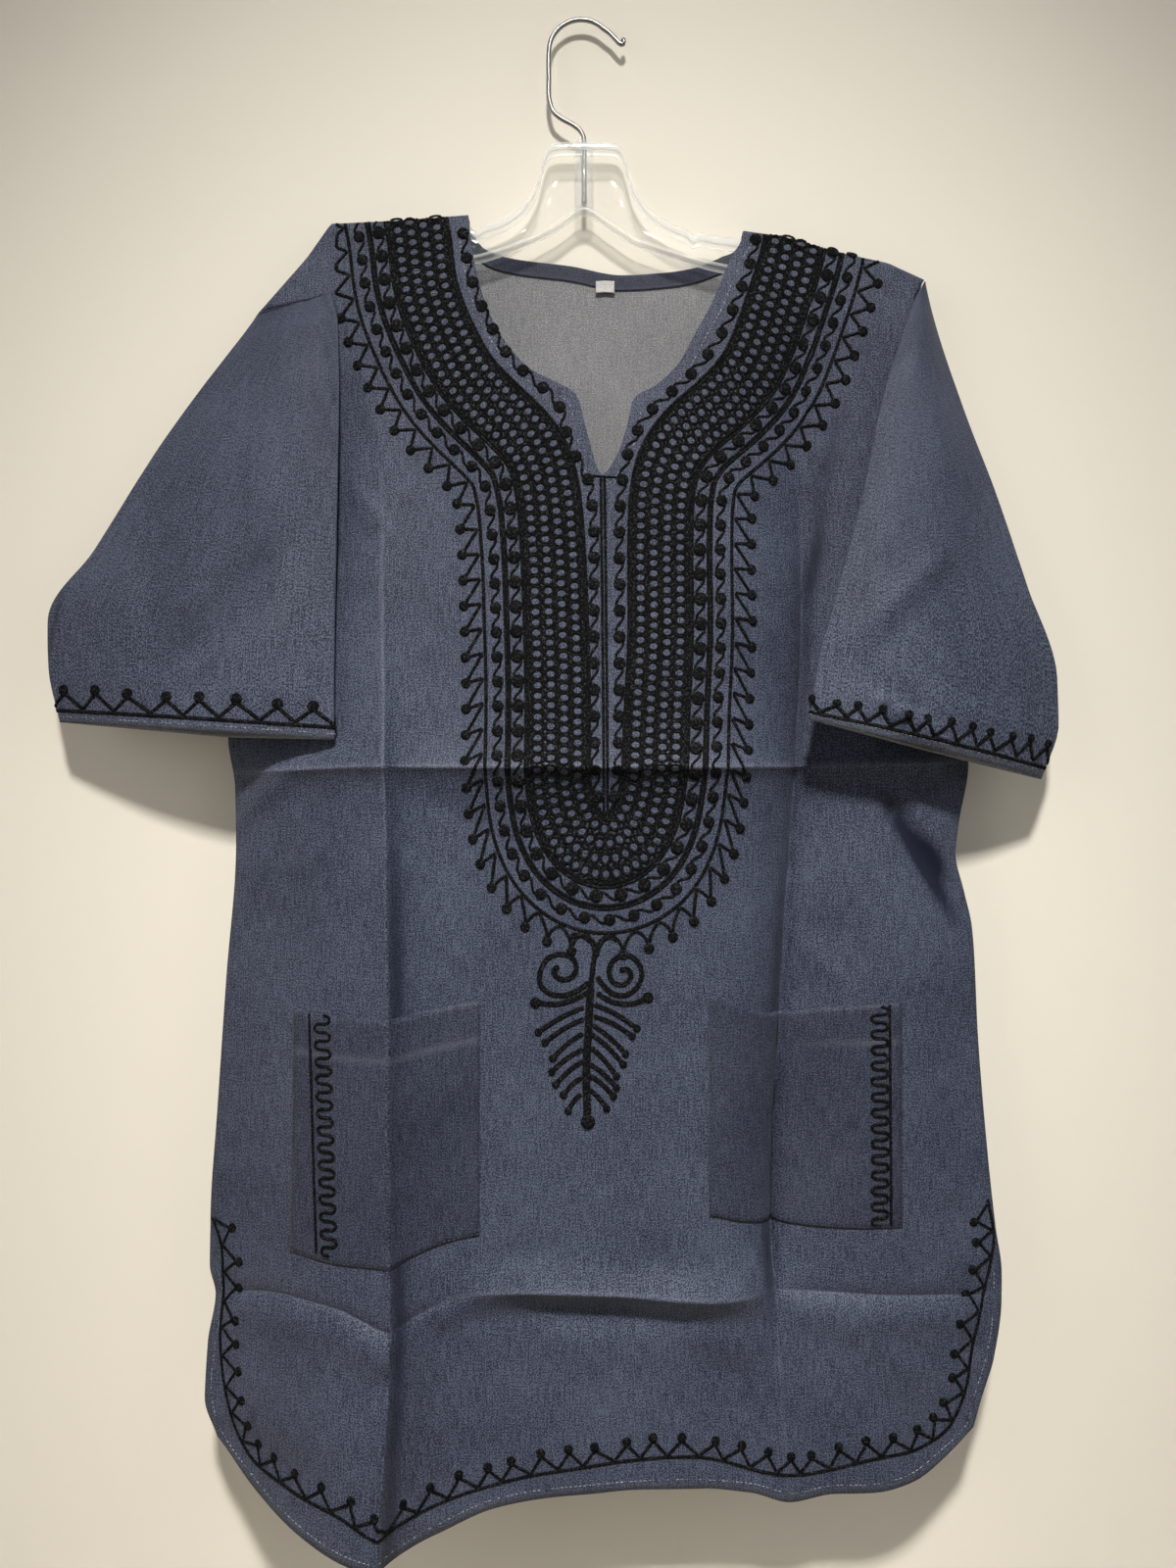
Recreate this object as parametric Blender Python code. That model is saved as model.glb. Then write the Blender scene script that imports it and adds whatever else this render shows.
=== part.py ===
"""Dashiki shirt on a clear plastic top hanger.

Every table below is in millimetres.  X runs across the shirt, +Y to its back and +Z up.
The origin is where the hook rests on what carries it, at the inside top of its bend.
Cloth panels are height fields: a flat cut outline in X and Z, and a depth worked out from folds.
"""
import math

import bmesh
import bpy
import numpy as np
from mathutils import Vector

MM = 0.001
WALL = 1.2                     # cloth wall, with the yarn and turned edges in it
SEAM_GAP = 0.3                 # between pieces that a seam joins
LAP = WALL + SEAM_GAP + 0.2    # from one cloth middle to the middle of the piece lying on it
BUTT = WALL + SEAM_GAP         # between the middles of two edges that stand side by side
SHOULDER_SEAM_DEPTH = 0.36     # the shoulder seam's edges lie almost level
ARM_ROLL = 6.0                 # radius of the cloth's roll over the hanger's arm
ROLL_END = 2.0                 # below the shoulder, where the folds start to grow in
SETTLE = 55.0                  # below the shoulder, the height in which the folds grow in
CENTRE_X = 17.6                # the shirt's own centre line

# Folds of the front: at each height, how far forward each of them stands.
FRONT_FOLDS = (
    # z,     left, ridge, foot, middle, lip, valley, bulge, right
    (-140.0, 7.0, 9.0, 9.0, 10.0, 9.0, 7.0, 8.0, 7.0),
    (-192.0, 9.0, 10.0, 10.5, 12.0, 10.5, 7.0, 9.0, 8.0),
    (-300.0, 4.2, 15.0, 15.0, 18.0, 14.0, 7.0, 11.0, 3.8),
    (-372.7, 0.75, 22.0, 19.0, 21.0, 17.0, 8.0, 13.0, 0.75),
    (-517.0, 0.75, 34.0, 27.0, 30.0, 24.0, 8.0, 14.0, 0.75),
    (-680.0, 0.75, 42.0, 28.0, 31.0, 26.0, 6.0, 15.0, 0.75),
    (-827.0, 0.75, 47.0, 30.0, 29.0, 28.0, 13.0, 16.0, 0.75),
    (-875.0, 2.0, 50.0, 32.0, 28.0, 30.0, 18.0, 16.0, 2.0),
    (-940.0, 5.0, 55.0, 36.0, 30.0, 24.0, 10.0, 15.0, 6.0),
    (-1025.0, 12.0, 60.0, 40.0, 32.0, 24.0, 8.0, 18.0, 12.0),
)
FOOT_OFFSET = 30.0             # from the ridge to the foot of its steep side
LIP_OFFSET = -32.0             # from the valley to the lip on its steep side
CREASE_START = 300.0           # below the hook, where the long folds start to sharpen
CREASE_GROWTH = 350.0          # the height in which they become sharp
EDGE_CALM = 40.0               # from a side edge, the width in which creases fade in

# The long folds' lines down the front.
FOLD_LINES = (
    # z,     ridge_x, valley_x
    (-140.0, -137.5, 155.8),
    (-372.7, -133.2, 154.0),
    (-517.0, -128.2, 148.8),
    (-680.0, -124.2, 139.1),
    (-827.0, -122.8, 131.7),
    (-875.0, -121.6, 133.1),
    (-1025.0, -128.2, 143.4),
)
CREASE_LINES = (
    # sharp crease on a fold line: forward height, half width
    (4.0, 9.0),
    (-3.5, 8.0),
)
# Packing creases straight across, and loose diagonal folds.
CROSS_CREASES = (
    # z, forward, half width
    (-517.0, 4.5, 16.0),
    (-876.0, 5.0, 16.0),
)
DIAGONAL_FOLDS = (
    # x0, z0, x1, z1, forward, half width
    (-198.8, -520.0, -239.5, -616.9, 4.0, 9.0),
    (207.4, -508.7, 262.0, -590.0, -7.0, 11.0),
    (152.8, -635.9, 182.1, -672.0, 3.5, 8.0),
)

# Folds of the back: how far back it stands.
BACK_FOLDS = (
    # z,     left, left_part, middle, right_part, right
    (-140.0, 7.0, 9.5, 11.0, 9.5, 7.0),
    (-250.0, 6.0, 10.0, 12.0, 10.0, 6.0),
    (-372.7, 0.75, 10.0, 13.0, 11.0, 0.75),
    (-517.0, 0.75, 12.0, 15.0, 12.0, 0.75),
    (-680.0, 0.75, 12.0, 14.0, 13.0, 0.75),
    (-827.0, 0.75, 12.0, 13.0, 13.0, 0.75),
    (-940.0, 5.0, 13.0, 12.0, 14.0, 5.0),
    (-1025.0, 9.0, 14.0, 13.0, 15.0, 9.0),
)
BACK_PARTS = (-110.0, 15.0, 140.0)
BACK_SETTLE = 25.0
SLOPE_STEP = 0.4               # for reading a slope off the height fields

# Shoulder seam line from armhole to armhole; across the neck it is only the line between.
SHOULDER = (
    # x, z
    (-223.1, -203.7),
    (-188.4, -164.2),
    (-172.1, -141.1),
    (-130.6, -139.1),
    (-77.6, -135.0),
    (112.8, -145.9),
    (141.4, -149.9),
    (176.0, -160.1),
    (212.8, -168.3),
    (238.0, -179.9),
)
NECK_LEFT_X = -77.6
NECK_RIGHT_X = 112.8
FRONT_NECK = (
    # x, z
    (-77.6, -135.0),
    (-76.8, -141.2),
    (-73.6, -164.9),
    (-64.5, -200.3),
    (-51.5, -226.2),
    (-32.6, -246.7),
    (-15.2, -255.7),
    (-1.9, -264.7),
    (4.1, -287.3),
    (14.7, -318.8),
    (26.7, -302.2),
    (32.7, -282.0),
    (36.0, -267.4),
    (51.3, -257.7),
    (66.1, -243.7),
    (80.4, -217.8),
    (90.0, -200.3),
    (97.6, -181.3),
    (105.3, -163.5),
    (112.0, -152.2),
    (112.8, -145.9),
)
BACK_NECK = (
    # x, z
    (-77.6, -135.0),
    (-76.6, -141.3),
    (-61.7, -156.0),
    (-46.8, -160.0),
    (-7.7, -165.0),
    (29.5, -171.5),
    (57.0, -170.0),
    (78.0, -167.0),
    (98.0, -160.0),
    (111.8, -152.3),
    (112.8, -145.9),
)

# Armholes: the shoulder point, the corner where the seam turns under the sleeve, the underarm.
ARMHOLES = {
    # side: shoulder (x, z), corner (x, z), underarm (x, z)
    "left": ((-223.1, -203.7), (-170.8, -192.5), (-198.1, -372.7)),
    "right": ((238.0, -179.9), (230.5, -194.0), (222.0, -372.7)),
}
ARM_CORNER_SHARE = 0.3
CORNER_ROW = (
    # main columns from the left edge in to the ridge, on the row through the armhole's corner
    (-170.8, -192.5),
    (-160.0, -187.5),
    (-149.0, -194.0),
)
LEFT_EDGE = (
    # z, x
    (-192.5, -170.8),
    (-372.7, -198.1),
    (-420.0, -228.9),
    (-496.8, -243.9),
    (-530.7, -239.1),
    (-570.0, -238.4),
    (-663.2, -245.2),
    (-752.8, -251.3),
    (-827.5, -256.1),
    (-861.1, -256.4),
    (-881.0, -252.1),
    (-914.4, -257.1),
    (-951.2, -258.5),
    (-976.7, -249.2),
)
RIGHT_EDGE = (
    # z, x
    (-179.9, 238.0),
    (-194.0, 230.5),
    (-372.7, 222.0),
    (-406.5, 229.5),
    (-447.2, 249.9),
    (-515.1, 268.9),
    (-557.2, 262.1),
    (-577.6, 260.1),
    (-601.4, 265.5),
    (-629.2, 271.6),
    (-705.3, 275.7),
    (-786.8, 282.5),
    (-836.4, 287.9),
    (-865.8, 291.7),
    (-885.7, 291.3),
    (-924.1, 285.2),
    (-951.2, 276.0),
    (-970.4, 270.0),
)
UNDERARM_Z = -372.7
FRONT_HEM = (
    # x, z
    (-249.2, -976.7),
    (-218.8, -1000.3),
    (-181.8, -1016.2),
    (-128.2, -1028.3),
    (-95.2, -1025.3),
    (-57.7, -1014.3),
    (-0.5, -1003.0),
    (44.0, -999.6),
    (82.2, -999.5),
    (113.6, -1003.9),
    (143.1, -1013.6),
    (171.4, -1008.7),
    (202.2, -1007.5),
    (226.6, -1001.9),
    (247.9, -988.8),
    (270.0, -970.4),
)
BACK_HEM = (
    # x, z
    (-249.2, -976.7),
    (-219.0, -999.0),
    (-150.0, -1012.0),
    (-60.0, -1018.0),
    (100.0, -1018.0),
    (190.0, -1011.0),
    (240.0, -993.0),
    (270.0, -970.4),
)

# Grid of the front: its main columns at each main row; the left and right edges come from above.
FRONT_COLUMNS = (
    # row,            c1,     c2,     ridge,  neck_l, pocket_l, mid,  pocket_r, neck_r, valley, c7
    ("underarm", -178.0, -160.0, -133.2, -92.0, -67.5, 14.7, 86.0, 118.0, 154.0, 200.0),
    ("upper crease", -191.5, -160.0, -128.2, -90.0, -67.5, 12.0, 86.0, 116.0, 148.8, 219.5),
    ("pocket top", -191.5, -158.0, -124.2, -90.0, -67.5, 10.0, 86.0, 112.0, 139.1, 219.5),
    ("pocket bottom", -191.5, -158.0, -122.8, -90.0, -67.5, 10.0, 86.0, 109.0, 131.7, 219.5),
    ("lower crease", -193.0, -158.0, -121.6, -90.0, -67.0, 10.0, 86.0, 109.0, 133.1, 220.0),
    ("hem", -205.0, -165.0, -128.2, -92.0, -60.0, 12.0, 86.0, 112.0, 143.4, 218.0),
)
FRONT_ROW_HEIGHTS = (
    # row,           left,   c1,     ridge,  pocket_l, mid,   pocket_r, valley, right
    ("underarm", -372.7, -372.7, -372.7, -372.7, -372.7, -372.7, -372.7, -372.7),
    ("upper crease", -517.0, -517.0, -517.0, -517.0, -517.0, -517.0, -517.0, -517.0),
    ("pocket top", -684.0, -682.0, -681.6, -674.5, -672.0, -670.0, -686.0, -678.0),
    ("pocket bottom", -846.0, -843.7, -842.3, -830.7, -825.0, -819.0, -828.0, -834.0),
    ("lower crease", -880.0, -877.0, -884.0, -871.0, -868.0, -870.0, -874.0, -882.0),
)
COLUMN_NAMES = ("left", "c1", "c2", "ridge", "neck_l", "pocket_l", "mid", "pocket_r", "neck_r",
                "valley", "c7", "right")
COLUMN_SPLITS = (2, 2, 2, 4, 2, 7, 6, 3, 3, 4, 3)
TOP_SPLITS = (2, 2, 2, 4, 1, 1, 7, 6, 2, 1, 3, 4, 3)
SLIT_X = 14.7                  # bottom of the neck slit
TOP_POCKET_X = (-67.5, 86.0)   # the pockets' inner columns, at the neck
TOP_C7_X = 209.4               # the outermost main column, at the shoulder
SHOULDER_ROLL_ANGLES = (0.0, 30.0, 60.0, 90.0)
YOKE_ROWS = (0.06, 0.12, 0.2, 0.3, 0.4, 0.5, 0.6, 0.7, 0.8, 0.9, 1.0)
ZONE_ROWS = (
    # rows from one main row down to the next, as shares of the way
    (0.2, 0.4, 0.6, 0.78, 0.92, 1.0),
    (0.08, 0.25, 0.5, 0.75, 1.0),
    (0.17, 0.33, 0.5, 0.67, 0.83, 1.0),
    (0.6, 1.0),
    (0.12, 0.3, 0.5, 0.7, 0.86, 1.0),
)
BACK_SPLITS = (3, 4, 1, 6, 6, 1, 3, 3)
BACK_TOP_ROWS = (0.045, 0.1, 0.2, 0.3, 0.45, 0.6, 0.8, 1.0)
BACK_LOWER_COUNT = 15
POCKETS = (
    # name, first main column, last main column
    ("pocket_left", "c1", "pocket_l"),
    ("pocket_right", "pocket_r", "c7"),
)

# Yoke embroidery: the middle line of its raised net band, out from the shirt's centre line.
YOKE_BAND = (
    # out, z
    (130.0, -150.0),
    (120.5, -195.0),
    (113.0, -215.0),
    (97.0, -248.0),
    (75.0, -272.0),
    (63.0, -282.0),
    (43.0, -311.0),
    (36.7, -360.0),
    (35.0, -425.0),
    (32.5, -510.0),
    (32.4, -543.0),
    (22.9, -566.0),
    (0.0, -575.5),
)
YOKE_HALF_WIDTH = 21.0
YOKE_RAISE = 0.9
YOKE_EDGE = 5.0                # width of the raised band's sloping edge
FAR_AWAY = 1e9

# Sleeves: flattened tubes; each row is a ring through its outer, inner and underarm folds.
SLEEVE_LEFT = (
    # t, x_out, z_out, y_out, x_in, z_in, y_in, x_under, z_under, y_under, bulge
    (0.00, -223.1, -203.7, -1.0, -170.8, -192.5, -11.5, -198.1, -372.7, -3.0, 0.0),
    (0.10, -240.0, -225.0, -2.0, -163.5, -216.0, -17.0, -203.0, -398.0, -5.8, 3.0),
    (0.32, -285.0, -284.0, -3.0, -161.5, -277.0, -21.0, -208.0, -424.0, -11.0, 6.0),
    (0.60, -337.7, -366.3, -4.0, -161.0, -368.0, -28.0, -218.0, -459.0, -17.0, 9.0),
    (0.80, -370.4, -416.5, -5.0, -160.5, -432.0, -34.0, -228.0, -480.0, -17.0, 11.0),
    (0.90, -369.2, -449.1, -6.0, -160.0, -464.0, -37.0, -234.0, -489.0, -16.0, 12.0),
    (1.00, -360.7, -486.0, -7.0, -159.0, -499.5, -40.0, -240.0, -497.0, -15.0, 13.0),
)
SLEEVE_RIGHT = (
    # t, x_out, z_out, y_out, x_in, z_in, y_in, x_under, z_under, y_under, bulge
    (0.00, 238.0, -179.9, -1.0, 230.5, -194.0, -10.5, 222.0, -372.7, -3.0, 0.0),
    (0.10, 246.5, -213.0, -2.0, 220.5, -217.0, -16.5, 222.5, -398.0, -5.4, 5.0),
    (0.30, 266.0, -270.0, -3.0, 201.5, -272.0, -20.5, 222.0, -424.0, -9.5, 8.0),
    (0.50, 287.2, -326.0, -5.0, 188.0, -331.0, -25.0, 226.0, -449.0, -14.0, 9.0),
    (0.72, 310.0, -394.0, -7.0, 169.5, -396.0, -32.0, 231.0, -478.0, -17.0, 10.0),
    (0.86, 330.0, -456.0, -8.0, 156.0, -440.0, -36.0, 235.0, -492.0, -18.0, 11.0),
    (0.93, 330.5, -488.0, -9.0, 151.5, -463.0, -37.0, 237.0, -499.0, -18.0, 12.0),
    (1.00, 318.0, -526.0, -10.0, 148.0, -485.5, -38.0, 238.0, -507.0, -18.0, 12.0),
)
SLEEVE_RINGS = 13
RING_CROWDING = 1.15           # rings lie closer together at the armhole
SLEEVE_LEGS = (9, 7, 7)        # cells along the front, and to and from the underarm
HIDDEN_BULGE = 2.0             # of the two hidden legs, at the cuff
CLEAR_RATE = 4.0               # how soon the back leg of the armhole clears the panels' edges
SWING_RATE = 3.0               # how soon it swings from the front panel over to the back one

# Back neck facing and label.
FACING_WALL = 1.0
FACING_ROWS = 3
FACING_COLUMNS = slice(9, 20)
LABEL_SIZE = (13.0, 0.8, 9.0)
LABEL_PLACE = (17.4, -180.5)   # x, z of its middle
LABEL_CLEAR = 0.2              # more than a seam's gap, because the facing slopes behind it

# Hanger.
HANGER_HALF = 5.0
HANGER_RIM = 2.2
HANGER_WEB_DROP = 3.4
HANGER_ROUND = (
    # half thickness, drop below the top: the rounded rim that the cloth rolls over
    (3.2, 1.2),
    (5.0, 4.2),
)
HANGER_PROFILE = (
    # x, top z, bottom z
    (-174.0, -146.5, -160.0),
    (-168.0, -142.2, -163.5),
    (-130.6, -140.2, -165.0),
    (-103.4, -141.0, -167.0),
    (-74.8, -142.5, -166.5),
    (-57.2, -138.4, -162.0),
    (-41.5, -128.9, -156.5),
    (-30.0, -113.2, -152.0),
    (-25.2, -96.9, -149.5),
    (-19.1, -84.0, -146.0),
    (2.7, -84.0, -133.0),
    (25.0, -84.0, -146.5),
    (31.2, -96.9, -151.0),
    (36.0, -113.2, -154.0),
    (46.9, -128.9, -157.5),
    (66.6, -141.8, -164.0),
    (91.8, -148.6, -171.0),
    (112.0, -151.0, -175.0),
    (141.4, -152.0, -180.0),
    (168.6, -159.0, -184.0),
    (188.0, -163.9, -185.0),
    (196.0, -168.0, -181.5),
)
BOSS_RADIUS = 6.6
BOSS_Z = (-130.0, -91.0)
BOSS_X = 2.7
BOSS_SIDES = 24
BORE_TOP = -60.0
WIRE_RADIUS = 1.6
WIRE_SIDES = 12
BORE_RADIUS = WIRE_RADIUS + SEAM_GAP
HOOK_BEND = 22.4               # middle radius of the round bend
HOOK_CENTRE = (0.6, WIRE_RADIUS - HOOK_BEND)
HOOK_NECK = ((2.7, -127.0), (2.7, -82.0), (1.4, -77.0), (-2.4, -73.0), (-14.5, -66.0),
             (-19.6, -61.0), (-21.6, -54.0))
HOOK_ROUND = (180.0, 45.0)
HOOK_ROUND_STEPS = 14
HOOK_TIP = ((24.0, -11.2), (28.3, -15.8), (30.4, -13.4), (27.6, -9.8))

FINISHES = {
    # kind: colour, roughness, metallic
    "cloth": ((0.085, 0.105, 0.190, 1.0), 0.9, 0.0),
    "facing": ((0.060, 0.078, 0.150, 1.0), 0.9, 0.0),
    "label": ((0.75, 0.75, 0.72, 1.0), 0.8, 0.0),
    "clear": ((0.82, 0.84, 0.84, 1.0), 0.12, 0.0),
    "steel": ((0.55, 0.55, 0.56, 1.0), 0.3, 1.0),
}


def column(table, index):
    """One column of a table as an array."""
    return np.array([row[index] for row in table], dtype=float)


def along(value, table, at=0, give=1):
    """Straight-line reading of a table, whose first column may fall or rise."""
    keys, values = column(table, at), column(table, give)
    order = np.argsort(keys)
    return np.interp(value, keys[order], values[order])


def ease(share):
    """Smooth step from 0 to 1."""
    share = np.clip(share, 0.0, 1.0)
    return share * share * (3.0 - 2.0 * share)


def smooth_profile(x, knots, heights):
    """Smooth curve through knots that differ from point to point, as arrays (points, knots)."""
    gaps = np.diff(knots, axis=1)
    rises = np.diff(heights, axis=1) / gaps
    slopes = np.empty_like(heights)
    slopes[:, 0], slopes[:, -1] = rises[:, 0], rises[:, -1]
    before, after = gaps[:, :-1], gaps[:, 1:]
    slopes[:, 1:-1] = (rises[:, :-1] * after + rises[:, 1:] * before) / (before + after)
    x = np.clip(x, knots[:, 0], knots[:, -1])
    cell = np.clip((knots <= x[:, None]).sum(axis=1) - 1, 0, knots.shape[1] - 2)
    rows = np.arange(len(x))
    gap = gaps[rows, cell]
    t = (x - knots[rows, cell]) / gap
    low, high = heights[rows, cell], heights[rows, cell + 1]
    rise_in, rise_out = slopes[rows, cell] * gap, slopes[rows, cell + 1] * gap
    return (low * (1 + 2 * t) * (1 - t) ** 2 + high * t * t * (3 - 2 * t)
            + rise_in * t * (1 - t) ** 2 + rise_out * t * t * (t - 1))


def shoulder_roll(x, z, forward, settle, edge):
    """Depth of cloth that rolls over the hanger's arm and then settles into its folds."""
    below = np.maximum(along(x, SHOULDER) - z, 0.0)
    roll = ARM_ROLL - np.minimum(below, ARM_ROLL)
    rolled = np.maximum(np.sqrt(ARM_ROLL ** 2 - roll ** 2), edge)
    return rolled + (forward - ARM_ROLL) * ease((below - ROLL_END) / settle)


def front_forward(x, z):
    """How far forward of the hanger's middle plane the front panel's middle lies."""
    x, z = np.atleast_1d(np.asarray(x, float)), np.atleast_1d(np.asarray(z, float))
    ridge = along(z, FOLD_LINES, 0, 1)
    valley = along(z, FOLD_LINES, 0, 2)
    left, right = along(z, LEFT_EDGE), along(z, RIGHT_EDGE)
    middle = np.full_like(x, CENTRE_X)
    knots = np.stack([left, ridge, ridge + FOOT_OFFSET, middle, valley + LIP_OFFSET,
                      valley, (valley + right) / 2, right], axis=1)
    heights = np.stack([along(z, FRONT_FOLDS, 0, i) for i in range(1, len(FRONT_FOLDS[0]))], axis=1)
    forward = smooth_profile(x, knots, heights)
    grown = ease((-z - CREASE_START) / CREASE_GROWTH)
    inside = ease((x - left) / EDGE_CALM) * ease((right - x) / EDGE_CALM)
    for line, (rise, width) in zip((ridge, valley), CREASE_LINES):
        forward += rise * grown * np.exp(-np.abs(x - line) / width)
    for level, rise, width in CROSS_CREASES:
        forward += rise * inside * np.exp(-np.abs(z - level) / width)
    for x0, z0, x1, z1, rise, width in DIAGONAL_FOLDS:
        run = np.array([x1 - x0, z1 - z0])
        share = np.clip(((x - x0) * run[0] + (z - z0) * run[1]) / (run @ run), 0.0, 1.0)
        away = np.hypot(x - x0 - share * run[0], z - z0 - share * run[1])
        forward += rise * inside * np.exp(-(away / width) ** 2)
    return shoulder_roll(x, z, forward, SETTLE, SHOULDER_SEAM_DEPTH)


def back_behind(x, z):
    """How far behind the hanger's middle plane the back panel's middle lies."""
    x, z = np.atleast_1d(np.asarray(x, float)), np.atleast_1d(np.asarray(z, float))
    left, right = along(z, LEFT_EDGE), along(z, RIGHT_EDGE)
    parts = [np.full_like(x, part) for part in BACK_PARTS]
    knots = np.stack([left, *parts, right], axis=1)
    heights = np.stack([along(z, BACK_FOLDS, 0, i) for i in range(1, len(BACK_FOLDS[0]))], axis=1)
    behind = smooth_profile(x, knots, heights)
    return shoulder_roll(x, z, behind, BACK_SETTLE, SHOULDER_SEAM_DEPTH)


def split_line(anchors, splits):
    """Values at the main columns, spread over the cells between them."""
    line = [anchors[0]]
    for low, high, cells in zip(anchors, anchors[1:], splits):
        line += [low + (high - low) * (k + 1) / cells for k in range(cells)]
    return np.array(line)


def front_outline_grid():
    """X and Z of the front panel's grid, row by row from the top, and its main rows."""
    main = [list(row[1:]) for row in FRONT_COLUMNS]
    top_x = split_line([SHOULDER[0][0], SHOULDER[1][0], SHOULDER[2][0], FOLD_LINES[0][1],
                        NECK_LEFT_X, FRONT_NECK[1][0], TOP_POCKET_X[0], SLIT_X, TOP_POCKET_X[1],
                        FRONT_NECK[-2][0], NECK_RIGHT_X, FOLD_LINES[0][2], TOP_C7_X,
                        SHOULDER[-1][0]], TOP_SPLITS)
    in_neck = (top_x > NECK_LEFT_X) & (top_x < NECK_RIGHT_X)
    top_z = np.where(in_neck, along(top_x, FRONT_NECK), along(top_x, SHOULDER))
    arm_x = split_line([LEFT_EDGE[1][1], *main[0], RIGHT_EDGE[2][1]], COLUMN_SPLITS)
    arm_z = np.full_like(arm_x, UNDERARM_Z)
    height = top_z.max() - UNDERARM_Z
    rolls = [ARM_ROLL * (1 - math.cos(math.radians(a))) / height for a in SHOULDER_ROLL_ANGLES]
    corner_x, corner_z = front_corner_row(top_x, top_z, arm_x)
    rows_x, rows_z = [], []
    for share in (*rolls, *YOKE_ROWS):
        bent = share / ARM_CORNER_SHARE
        if bent <= 1.0:
            rows_x.append(top_x + (corner_x - top_x) * bent)
            rows_z.append(top_z + (corner_z - top_z) * bent)
        else:
            bent = (share - ARM_CORNER_SHARE) / (1 - ARM_CORNER_SHARE)
            rows_x.append(corner_x + (arm_x - corner_x) * bent)
            rows_z.append(corner_z + (arm_z - corner_z) * bent)
        hold_right_edge(rows_x[-1], rows_z[-1])
    marks = {"underarm": len(rows_x) - 1}
    for index, shares in enumerate(ZONE_ROWS):
        upper, lower = index, index + 1
        for share in shares:
            row_x, row_z = front_lower_row(main, upper, lower, share)
            rows_x.append(row_x)
            rows_z.append(row_z)
        marks[FRONT_COLUMNS[lower][0]] = len(rows_x) - 1
    return np.array(rows_x), np.array(rows_z), marks


def hold_right_edge(row_x, row_z):
    """Spread a row's last columns evenly up to the right armhole's edge."""
    cells = COLUMN_SPLITS[-1]
    edge = float(along(row_z[-1], RIGHT_EDGE))
    row_x[-cells - 1:] = np.linspace(row_x[-cells - 1], edge, cells + 1)


def front_corner_row(top_x, top_z, arm_x):
    """The row through the left armhole's corner."""
    share = ARM_CORNER_SHARE
    row_x = top_x + (arm_x - top_x) * share
    row_z = top_z + (UNDERARM_Z - top_z) * share
    places = np.cumsum((0, *COLUMN_SPLITS[:3]))
    ridge = places[-1]
    inner = np.arange(ridge)
    row_x[:ridge] = np.interp(inner, places, [*column(CORNER_ROW, 0), row_x[ridge]])
    row_z[:ridge] = np.interp(inner, places, [*column(CORNER_ROW, 1), row_z[ridge]])
    return row_x, row_z


def front_lower_row(main, upper, lower, share):
    """A row between two main rows below the underarm."""
    if lower < len(FRONT_ROW_HEIGHTS):
        ends = [FRONT_ROW_HEIGHTS[upper][1:], FRONT_ROW_HEIGHTS[lower][1:]]
        heights = [a + (b - a) * share for a, b in zip(*ends)]
    else:
        heights = list(FRONT_ROW_HEIGHTS[upper][1:])
    inner = [a + (b - a) * share for a, b in zip(main[upper], main[lower])]
    bottom = lower == len(FRONT_ROW_HEIGHTS)
    left_z = heights[0] + (FRONT_HEM[0][1] - heights[0]) * share if bottom else heights[0]
    right_z = heights[-1] + (FRONT_HEM[-1][1] - heights[-1]) * share if bottom else heights[-1]
    edges = [float(along(left_z, LEFT_EDGE)), float(along(right_z, RIGHT_EDGE))]
    row_x = split_line([edges[0], *inner, edges[1]], COLUMN_SPLITS)
    knots = [edges[0], inner[0], inner[2], inner[4], inner[5], inner[6], inner[8], edges[1]]
    row_z = np.interp(row_x, knots, heights)
    if bottom:
        row_z += (along(row_x, FRONT_HEM) - row_z) * share
    return row_x, row_z


def back_outline_grid():
    """X and Z of the back panel's grid, row by row from the top."""
    spread = split_line([SHOULDER[0][0], SHOULDER[2][0], NECK_LEFT_X, BACK_NECK[1][0], CENTRE_X,
                         BACK_NECK[-2][0], NECK_RIGHT_X, SHOULDER[7][0], SHOULDER[-1][0]],
                        BACK_SPLITS)
    in_neck = (spread > NECK_LEFT_X) & (spread < NECK_RIGHT_X)
    top_z = np.where(in_neck, along(spread, BACK_NECK), along(spread, SHOULDER))
    share_x = (spread - spread[0]) / (spread[-1] - spread[0])
    height = top_z.max() - UNDERARM_Z
    rolls = [ARM_ROLL * (1 - math.cos(math.radians(a))) / height for a in SHOULDER_ROLL_ANGLES]
    under = (LEFT_EDGE[1][1], RIGHT_EDGE[2][1])
    rows_x, rows_z = [], []
    for share in (*rolls, *BACK_TOP_ROWS):
        low_x = under[0] + (under[1] - under[0]) * share_x
        row_x = spread + (low_x - spread) * share
        row_z = top_z + (UNDERARM_Z - top_z) * share
        rows_x.append(row_x)
        rows_z.append(row_z)
    for row in range(1, BACK_LOWER_COUNT + 1):
        share = row / BACK_LOWER_COUNT
        left_z = UNDERARM_Z + (BACK_HEM[0][1] - UNDERARM_Z) * share
        right_z = UNDERARM_Z + (BACK_HEM[-1][1] - UNDERARM_Z) * share
        left, right = along(left_z, LEFT_EDGE), along(right_z, RIGHT_EDGE)
        row_x = left + (right - left) * share_x
        low_z = along(row_x, BACK_HEM)
        rows_x.append(row_x)
        rows_z.append(UNDERARM_Z + (low_z - UNDERARM_Z) * share)
    return np.array(rows_x), np.array(rows_z)


def sheet_normals(depth, x, z):
    """Unit normals of the height field y = depth(x, z), pointing to -Y, on a grid of points."""
    shape, step = x.shape, SLOPE_STEP
    x, z = x.ravel(), z.ravel()
    across = (depth(x + step, z) - depth(x - step, z)) / (2 * step)
    upward = (depth(x, z + step) - depth(x, z - step)) / (2 * step)
    normals = np.stack([across, -np.ones_like(x), upward], axis=1)
    normals /= np.linalg.norm(normals, axis=1, keepdims=True)
    return normals.reshape(*shape, 3)


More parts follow.
